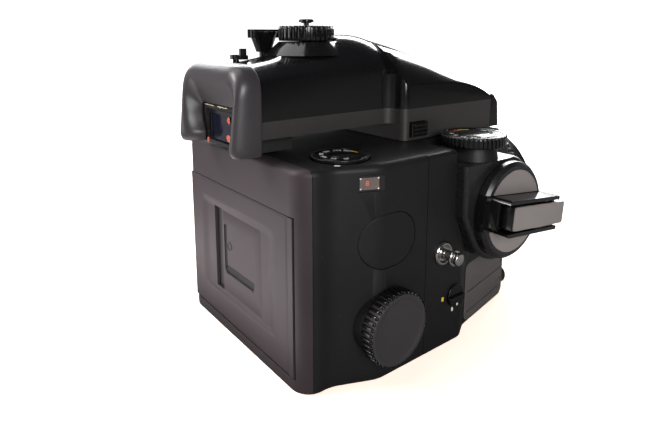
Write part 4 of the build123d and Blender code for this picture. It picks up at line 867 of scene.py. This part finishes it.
def face_depth(x, z):
    if slot_low[0] < x < slot_high[0] and slot_low[1] < z < slot_high[1]:
        return slot_depth
    if bed_low[0] < x < bed_high[0] and bed_low[1] < z < bed_high[1]:
        return bed_depth
    across = rolled(x - dish_low[0], dish_rolls["right"]) * rolled(dish_high[0] - x, dish_rolls["left"])
    upward = rolled(z - dish_low[1], dish_rolls["bottom"]) * rolled(dish_high[1] - z, dish_rolls["top"])
    return dish_sink * across * upward


# %% The grid's lines
def grid_lines(low, high, step, cuts):
    """even lines from low to high, with two close lines at each cut"""
    count = round((high - low) / step)
    lines = [low + (high - low) * i / count for i in range(count + 1)]
    lines = [line for line in lines if all(abs(line - cut) > 0.3 * step for cut in cuts)]
    return sorted(lines + [cut + side for cut in cuts for side in (-0.03, 0.03)])


xs, zs = (
    grid_lines(door_low[k], door_high[k], step, (slot_low[k], slot_high[k], bed_low[k], bed_high[k]))
    for k, step in ((0, 0.8), (1, 0.5))
)
print(len(xs), "by", len(zs), "points on the door's face")

# %% The door as one closed solid
door_edge = 0.25


def face_y(x, z):
    near = min(x - door_low[0], door_high[0] - x, z - door_low[1], door_high[1] - z)
    return door_face_y - face_depth(x, z) - (door_edge if near < 0.01 else 0)


def door_mesh():
    shape = bmesh.new()
    face = [[shape.verts.new((x, face_y(x, z), z)) for z in zs] for x in xs]
    back = [[shape.verts.new((x, door_back_y, z)) for z in (zs[0], zs[-1])] for x in (xs[0], xs[-1])]
    for i in range(len(xs) - 1):
        for k in range(len(zs) - 1):
            shape.faces.new((face[i][k], face[i + 1][k], face[i + 1][k + 1], face[i][k + 1]))
    shape.faces.new([column[0] for column in face] + [back[1][0], back[0][0]])
    shape.faces.new([column[-1] for column in face] + [back[1][1], back[0][1]])
    shape.faces.new(face[0] + [back[0][1], back[0][0]])
    shape.faces.new(face[-1] + [back[1][1], back[1][0]])
    shape.faces.new((back[0][0], back[1][0], back[1][1], back[0][1]))
    return as_mesh(shape, "door_panel", outward=True)


# %% [markdown]
# The door turns on a pin at its right edge. The barrel round the pin and the flat cover outside it
# belong to the door, so they are joined to it.
# In the slot lies a floor of the darker black paint, which is a painted shade for the shadow in the
# slot.

# %% Hinge barrel, cover and painted shade in the slot
hinge_length = 58.0
barrel_profile = [(0.66, 0), (1.3, 0), (1.3, hinge_length), (0.66, hinge_length)]
hinge_barrel = spin(soften(barrel_profile, 0.15, closed=True), 32, closed=True)
hinge_barrel.transform(Matrix.Translation((-37.5, 75.7, door_low[1])))
quarter_turn = Matrix.Rotation(radians(90), 4, "X")
hinge_cover = mark_mesh(2.85, hinge_length, 1.3)
hinge_cover.transform(Matrix.Translation((-37.4, door_face_y, 34.6)) @ quarter_turn)
door = in_metres(joined([door_mesh(), hinge_barrel, hinge_cover], "magazine_door_soft"))
add_piece(door, "magazine_door_soft", "magazine_door")
# painted shade: a darker floor in the slot stands for the shade in it
slot_painted_shade = mark_mesh(slot_high[0] - slot_low[0] - 0.1, slot_high[1] - slot_low[1] - 0.1, 0.08)
slot_x, slot_z = ((low + high) / 2 for low, high in zip(slot_low, slot_high))
add_detail(set_down(slot_painted_shade, (slot_x, door_face_y - slot_depth, slot_z), to_rear),
           "slot_painted_shade", "magazine_door", "black_paint")

# %% [markdown]
# ## Memo holder
# The film box's end flap is kept behind a thin plastic frame. The frame is nearly flush with the dish's
# floor, its window has rounded corners, and below the window a deep narrow pocket takes the flap's
# lower edge.
# A thin black sheet in that pocket, and another in the gap at the window's left side, are painted
# shadows.

# %% Memo holder
card_y, holder_face = 75.5, 76.06
window_x, window_z = 0.4, 36.9
window_half = (11.9, 10.4)
holder_outline = [(x + 1.8 + window_x, z + 35.3 - window_z) for x, z in rounded_loop(15.2, 17.5, 0.8)]
holder = frame_mesh(holder_outline, rounded_loop(*window_half, 1.6), holder_face - card_y)
card = mark_mesh(2 * window_half[0] + 0.2, 2 * window_half[1] + 0.2, 0.1)
flat_pieces = [set_down(mesh, (window_x, card_y, window_z), to_rear) for mesh in (holder, card)]
add_piece(joined(flat_pieces, "memo_holder_frame"), "memo_holder_frame", "memo_holder")

# %% Painted shadows in its pocket and side gap, and its lip
# painted shadow: thin black sheets lie where the pocket and the side gap are in shade
gap_y, gap_depth = 75.61, 0.06
for name, width, height, x, z in (("memo_pocket", 22.4, 2.6, window_x, 28.1),
                                  ("memo_side_gap", 1.1, 19.0, window_x + 11.2, 37.2)):
    gap = set_down(mark_mesh(width, height, gap_depth), (x, gap_y, z), to_rear)
    add_detail(gap, name, "memo_holder", "inner_black")
lip_half, lip_radius = 10.9, 0.32
lip_profile = soften(rod(lip_radius, -lip_half, lip_half), 0.2)
lip = set_down(spin(lip_profile, 16), (window_x, 76.1, 26.2), (1, 0, 0))
add_detail(lip, "memo_lip", "memo_holder", "rear_paint_with_painted_light")

# %% [markdown]
# The memo card's window carries a small embossed circle, which was pressed into the
# plastic by the mould's ejector pin.

# %% Ejector mark
circle_radius, wire_radius = 1.6, 0.17
circle_profile = [(circle_radius + wire_radius * cos(tau * i / 8), wire_radius * sin(tau * i / 8))
                  for i in range(8)]
circle = set_down(spin(circle_profile, 48, closed=True), (8.6, 75.66, 38.2), to_rear)
add_detail(circle, "memo_circle", "memo_holder", "rear_paint_with_painted_light")

# %% [markdown]
# ## Frame counter window
# Behind the dark pane a brown card carries the frame number. Tiny white dots at the card's corners are
# painted glints.
# The magazine's wall is slanted here, so everything is laid out along the wall and outward from it.

# %% Frame counter card
pane_low, pane_high = box_mm("film_window")
wall_along = Vector((7.0, 16.0, 0)).normalized()
wall_out = Vector((-wall_along.y, wall_along.x, 0))
pane_face = (pane_low + pane_high) / 2 + wall_out * 0.47
print_face = pane_face + wall_out * 0.07
add_detail(set_down(mark_mesh(6.9, 4.2, 0.06), pane_face + wall_along * 0.8, wall_out),
           "counter_card", "film_window", "window_card")
print_piece("counter_number", "film_window", "orange_print",
            [set_down(number_mesh("8", 2.6), print_face + wall_along * 1.6, wall_out)])
# painted highlights: white dots at the card's corners stand for glints
corners = ((3.9, 1.8), (3.9, -1.8), (-2.4, 1.8), (-2.4, -1.8))
print_piece("counter_corner_glints", "film_window", "white_print",
            [set_down(dot_mesh(0.28), print_face + wall_along * a + Vector((0, 0, b)), wall_out)
             for a, b in corners])

# %% [markdown]
# ## Crank inlay
# The round plate under the crank's arm has a warm grey face let into a black rim. The
# face shows above and below the arm, so it is two segments of a disc.

# %% Crank inlay
hub_centre = (-61.5, -14.9, 53.2)
arm_tilt = radians(6.8)
arm_side = Vector((0, sin(arm_tilt), -cos(arm_tilt)))


def disc_segment(radius, near, thickness, edge=0.1, steps=40):
    """the part of a disc beyond a straight line at distance near from its middle"""
    start = asin(near / radius)
    turns = [start + (pi - 2 * start) * i / steps for i in range(steps + 1)]
    middle_y = (near + radius) / 2
    shape = bmesh.new()
    rings = []
    for inset, z in ((0, 0), (0, thickness - edge), (edge, thickness)):
        wide, tall = 1 - inset / radius, 1 - inset / 6
        rings.append([shape.verts.new((radius * cos(a) * wide,
                                       middle_y + (radius * sin(a) - middle_y) * tall, z))
                      for a in turns])
    skin(shape, rings, capped=True)
    return as_mesh(shape, "segment", outward=True)


inlay = [set_down(disc_segment(16.9, 7.3, 0.3), hub_centre, to_right, up=side)
         for side in (arm_side, -arm_side)]
print_piece("crank_inlay", "crank_hub", "cap_grey", inlay)

# %% [markdown]
# ## Crank handle
# The folded handle lies in the arm's channel. Its body is glossy black, and its outer
# face is a plate of the same warm grey as the crank's disc, with rounded corners and a
# thin dark line round it. Both are plates along the arm, so they are made flat and then
# laid along it. The hinge pin at the arm's tip stays a part of the handle.

# %% A plate, and how it is laid along the arm
arm_forward = Vector((0, -cos(arm_tilt), -sin(arm_tilt)))
arm_turn = Matrix((arm_forward, arm_side, to_right)).transposed().to_4x4()
hub_place = Matrix.Translation(Vector(hub_centre) * mm) @ arm_turn @ Matrix.Scale(mm, 4)


def soft_plate(half_length, half_width, corner, low, high, edge):
    """a plate with rounded corners whose upper edge is rounded too"""
    shape = bmesh.new()
    rings = []
    for inset, z in ((0, low), (0, high - edge), (0.3 * edge, high - 0.3 * edge), (edge, high)):
        loop = rounded_loop(half_length - inset, half_width - inset, max(corner - inset, 0.1))
        rings.append([shape.verts.new((x, y, z)) for x, y in loop])
    skin(shape, rings, capped=True)
    return as_mesh(shape, "plate", outward=True)


def along_arm(mesh, start):
    mesh.transform(hub_place @ Matrix.Translation((start, 0, 0)))
    return smooth_faces(mesh, sharp=40)


# %% Crank handle
body_start, plate_start = 4.4, 4.7
pin_x, pin_z, pin_radius, pin_half = 17.0 - body_start, 6.2, 1.0, 7.1
handle_pin = spin(rod(pin_radius, -pin_half, pin_half), 24)
handle_pin.transform(Matrix.Translation((pin_x, 0, pin_z)) @ quarter_turn)
handle_parts = [soft_plate(18.0, 4.8, 0.5, low=2.9, high=8.35, edge=0.25), handle_pin]
handle_body = joined([along_arm(mesh, body_start) for mesh in handle_parts], "crank_handle_body")
add_piece(handle_body, "crank_handle_body", "crank_handle")
handle_plate = along_arm(soft_plate(17.7, 4.65, 1.0, low=8.3, high=8.9, edge=0.3), plate_start)
add_detail(handle_plate, "crank_handle_plate", "crank_handle", "cap_grey")

# %% [markdown]
# ## Marks on the right wall
# A yellow and a white square stand beside the small lever, and the lever carries one
# cream dot. The word printed there on the real camera is left off.

# %% Lever marks
wall_x = -52.01
lever_x = box_mm("multi_exposure_lever")[0].x - 0.01
print_piece("lever_yellow_mark", "body_shell", "yellow_print",
            [set_down(mark_mesh(1.25, 1.7), (wall_x, 15.4, 20.8), to_right)])
print_piece("lever_white_mark", "body_shell", "white_print",
            [set_down(mark_mesh(1.1, 1.6), (wall_x, 9.3, 14.7), to_right)])
print_piece("lever_dot", "multi_exposure_lever", "cream_print",
            [set_down(dot_mesh(0.55), (lever_x, 8.6, 17.4), to_right)])

# %% [markdown]
# ## Lens rings
# Two rings turn on the lens. The focus ring is wide and has seventy straight ribs of
# black rubber, from the same tree as the dials' ribs. The aperture ring behind it is
# narrower, with finger ribs in groups of five. Heights along the lens count forward from
# the camera's origin.

# %% Focus ring
lens_axis = Vector((0, 0, 41.7))
focus_profile = soften([
    (24.66, 58.4), (31.0, 58.4), (31.0, 59.5), (30.2, 59.7), (30.2, 72.7), (31.0, 72.9),
    (31.0, 74.0), (24.66, 74.0),
], 0.15, closed=True)
focus_turned = set_down(spin(focus_profile, 160, closed=True), lens_axis, to_front)
add_piece(focus_turned, "focus_ring_turned", "focus_ring")
focus_ribs = ribs(70, radius=30.4, depth=1.8, width=1.75, length=12.9, lift=66.2, look="ring_rubber")
add_detail(set_down(focus_ribs, lens_axis, to_front), "focus_ring_ribs", "focus_ring")

# %% Aperture ring
def on_ring(mesh, radius, y, angle):
    """a small flat mesh on the outside of a lens ring, at degrees round the axis"""
    out = Vector((cos(radians(angle)), 0, sin(radians(angle))))
    return set_down(mesh, lens_axis + Vector((0, y, 0)) + radius * out, out, up=to_front)


ring_y, rib_foot_radius = -52.0, 29.15
group_turn, rib_turn = 45, 4.2
aperture_ribs = [on_ring(mark_mesh(1.5, 3.4, 0.62), rib_foot_radius, ring_y, angle)
                 for k in range(8) for angle in
                 [group_turn * k + rib_turn * i for i in range(-2, 3)]]
print_piece("aperture_ring_ribs", "aperture_ring", "satin_black", aperture_ribs)

# %% [markdown]
# The f-numbers are printed in white in the gaps between the groups of ribs, and a white
# dot on the fixed flange is the mark that they are set against. The print has to lie on
# the ring's own surface, so the ring's radius is measured on its CAD mesh.

# %% Aperture numbers
def outer_radius(node, low_y, high_y):
    """how far a node's surface lies from the lens axis between two places along it"""
    near = [vert.co / mm for vert in nodes[node].data.vertices if low_y < vert.co.y / mm < high_y]
    return max(sqrt(co.x ** 2 + (co.z - lens_axis.z) ** 2) for co in near)


ring_radius = outer_radius("aperture_ring", -58.2, -49.8)
flange_radius = outer_radius("lens_base", -49.7, -45.9)
print("aperture ring radius", round(ring_radius, 2), "flange radius", round(flange_radius, 2))
stops = ["2.8", "4", "5.6", "8", "11", "16", "22"]
print_piece("aperture_ring_white", "aperture_ring", "white_print",
            [on_ring(number_mesh(stop, 3.0), ring_radius + 0.02, ring_y, group_turn * (k + 0.5))
             for k, stop in enumerate(stops)])
print_piece("lens_index", "lens_base", "white_print",
            [on_ring(dot_mesh(0.7), flange_radius + 0.01, -47.8, 90)])

# %% [markdown]
# ## Collar of the dial lock button
# The lock button over the compensation dial is a low mushroom. This short collar under
# its head hides most of the thin pin, and stays clear of the dial when it is pressed.

# %% Lock button collar
collar_low, collar_high, collar_radius = 127.45, 128.3, 2.1
collar_profile = soften(rod(collar_radius, collar_low, collar_high), 0.2)
collar = set_down(spin(collar_profile, 40), comp_centre, straight_up)
add_detail(collar, "dial_lock_collar", "dial_lock_button", "gloss_black")

# %% [markdown]
# ## Strap lugs
# Each lug is a chromed stud that was turned in one piece: a dished washer on the wall, a
# neck that the strap's eye runs on, a flange, and a button at its end. The right and the
# left one are the same profile, laid on opposite walls.

# %% Strap lugs
lug_profile = soften([
    (0, -0.02), (4.75, -0.02), (4.75, 0.8), (4.3, 1.35), (3.6, 1.4), (2.9, 0.7), (2.1, 0.6),
    (2.1, 5.3), (3.0, 5.4), (3.25, 5.65), (3.25, 6.15), (3.0, 6.4), (2.0, 6.45), (2.0, 7.0),
    (2.45, 7.1), (2.5, 7.4), (2.5, 8.2), (2.2, 8.6), (0, 8.6),
], 0.18)
lug_x, lug_y, lug_z = 52.0, 16.6, 40.4
lug_studs = [set_down(spin(lug_profile, 72), (side * lug_x, lug_y, lug_z), (side, 0, 0))
             for side in (1, -1)]
add_piece(joined(lug_studs, "strap_lugs_turned"), "strap_lugs_turned", "strap_lugs")

# %% [markdown]
# ## Finder release button
# The small sliding button at the finder's foot has three raised bars for the thumb.

# %% Bars on the finder release button
button_low, button_high = box_mm("finder_release_button")
bar_spacing, bar_sink = 1.6, 0.02
button_bars = []
for k in (-1, 0, 1):
    spot = (button_low + button_high) / 2 + Vector((0, 0, bar_spacing * k))
    spot.x = button_low.x - bar_sink
    bar = soft_plate(3.7, 0.5, 0.45, low=0, high=0.55, edge=0.25)
    button_bars.append(set_down(bar, spot, to_right))
print_piece("finder_release_bars", "finder_release_button", "satin_black", button_bars)

# %% [markdown]
# ## Floor
# The photograph was taken on overexposed white paper. The paper shows as plain white, and the camera's
# shadow close to it is painted into the paper as a warm glow.
# So the floor's shader asks what kind of ray has met it. A ray that comes straight from the viewpoint
# sees pale paper with a glow that is warm near the object, which is a painted shadow, and white further
# out.
# A reflection in black gloss sees dark paper, and the light that bounces up from the floor sees plain
# grey paper.

# %% Floor
paper = finish("paper", (0.52, 0.50, 0.48), (0.56, 0.54, 0.52), (0.85, 0.95), 1.5, 0.02, drift=200)
tree = paper.node_tree
shader = tree.nodes["Principled BSDF"]
plain = shader.inputs["Base Color"].links[0].from_socket
ray = add_node(tree, "ShaderNodeLightPath").outputs
in_gloss = mix_colours(tree, ray["Is Glossy Ray"], plain, (0.16, 0.16, 0.16))
in_view = mix_colours(tree, ray["Is Camera Ray"], in_gloss, (0.92, 0.92, 0.92))
place = add_node(tree, "ShaderNodeTexCoord").outputs["Object"]
distance = add_node(tree, "ShaderNodeVectorMath", {0: place}, operation="LENGTH")
away = add_node(tree, "ShaderNodeMapRange", {
    "Value": distance.outputs["Value"], "From Min": 0.16, "From Max": 0.45,
})
# painted shadow: the glow is warm close to the object, where its shadow falls, and white further out
glow_and_painted_shadow = mix_colours(tree, away.outputs["Result"], (0.82, 0.64, 0.52), (1, 1, 1))
tree.links.new(in_view, shader.inputs["Base Color"])
tree.links.new(glow_and_painted_shadow, shader.inputs["Emission Color"])
tree.links.new(ray["Is Camera Ray"], shader.inputs["Emission Strength"])
bpy.ops.mesh.primitive_plane_add(size=12)
floor = bpy.context.object
floor.name = "floor"
floor.data.materials.append(paper)

# %% [markdown]
# ## Light
# Black gloss in the photograph mirrors a dark room, while the paper behind the camera is
# white. So the world is white only for rays that come straight from the viewpoint, and
# dim and slightly cool for every reflection. A wide sun and large soft lights do the
# rest: each one is placed for the face of the camera that it brightens.

# %% Room light
world = bpy.data.worlds.new("studio")
world.use_nodes = True
room = world.node_tree
white = room.nodes["Background"]
white.inputs["Color"].default_value = (1, 1, 1, 1)
white.inputs["Strength"].default_value = 1.25
dim = add_node(room, "ShaderNodeBackground", {"Color": (0.82, 0.86, 1.0, 1), "Strength": 0.05})
rays = add_node(room, "ShaderNodeLightPath")
pick = add_node(room, "ShaderNodeMixShader", {
    "Fac": rays.outputs["Is Camera Ray"], 1: dim.outputs["Background"], 2: white.outputs["Background"],
})
room.links.new(pick.outputs["Shader"], room.nodes["World Output"].inputs["Surface"])
bpy.context.scene.world = world
bpy.context.scene.view_settings.view_transform = "Standard"

# %% Lights
def aim(lamp, direction):
    lamp.rotation_euler = Vector(direction).to_track_quat("-Z", "Y").to_euler()


def soft_light(name, place, target, size, power, colour=(1, 1, 1)):
    data = bpy.data.lights.new(name, "AREA")
    data.shape = "RECTANGLE"
    data.size, data.size_y = size
    data.energy = power
    data.color = colour
    lamp = new_object(name, data)
    lamp.location = place
    lamp.visible_camera = False
    aim(lamp, Vector(target) - Vector(place))


sun = bpy.data.lights.new("sky", "SUN")
sun.energy = 1.25
sun.angle = radians(50)
aim(new_object("sky", sun), (-0.50, -0.30, -1.0))
soft_light("backdrop", (0.80, -0.72, 0.72), (0, 0, 0.1), (1.1, 0.30), 14)
soft_light("rear_left", (0.62, 1.0, 0.22), (0, 0.05, 0.03), (0.8, 0.4), 3.0, (1, 0.94, 0.97))
soft_light("table", (0.5, 0.8, 0.7), (0.26, 0.40, 0), (0.4, 0.4), 9, (1, 0.95, 0.96))
soft_light("front", (0.45, -1.1, 0.38), (0, 0, 0.06), (0.6, 0.4), 9)
soft_light("left", (1.2, -0.15, 0.45), (0, 0, 0.05), (0.6, 0.5), 7)
soft_light("paper_glow", (0.05, 0.14, 0.003), (0.05, 0.14, 1), (0.18, 0.10), 0.12, (1, 0.93, 0.94))
soft_light("right", (-0.95, 0.42, 0.42), (0, 0, 0.06), (0.5, 0.5), 9)

# %% [markdown]
# ## Viewpoint
# The photograph was taken from behind and to the right, a little above the camera. Its
# place, its turn and its focal length were solved from points on the object, for a
# picture 660 pixels wide. The shift moves the object up in the frame, to where the
# photograph has it.

# %% Viewpoint
lens = bpy.data.cameras.new("view")
lens.sensor_width = 36
focal_pixels, picture_width = 531.8, 660
lens.lens = focal_pixels / picture_width * lens.sensor_width
lens.shift_x, lens.shift_y = 0.0006, -0.14
lens.clip_start, lens.clip_end = 0.01, 50
viewpoint = new_object("view", lens)
turn, tip = radians(232.10), radians(10.06)
backwards = Vector((sin(turn) * cos(tip), -cos(turn) * cos(tip), sin(tip)))
viewpoint.location = (-0.17739, 0.16902, 0.12343)
aim(viewpoint, -backwards)
bpy.context.scene.camera = viewpoint
print("viewpoint", viewpoint.location[:])
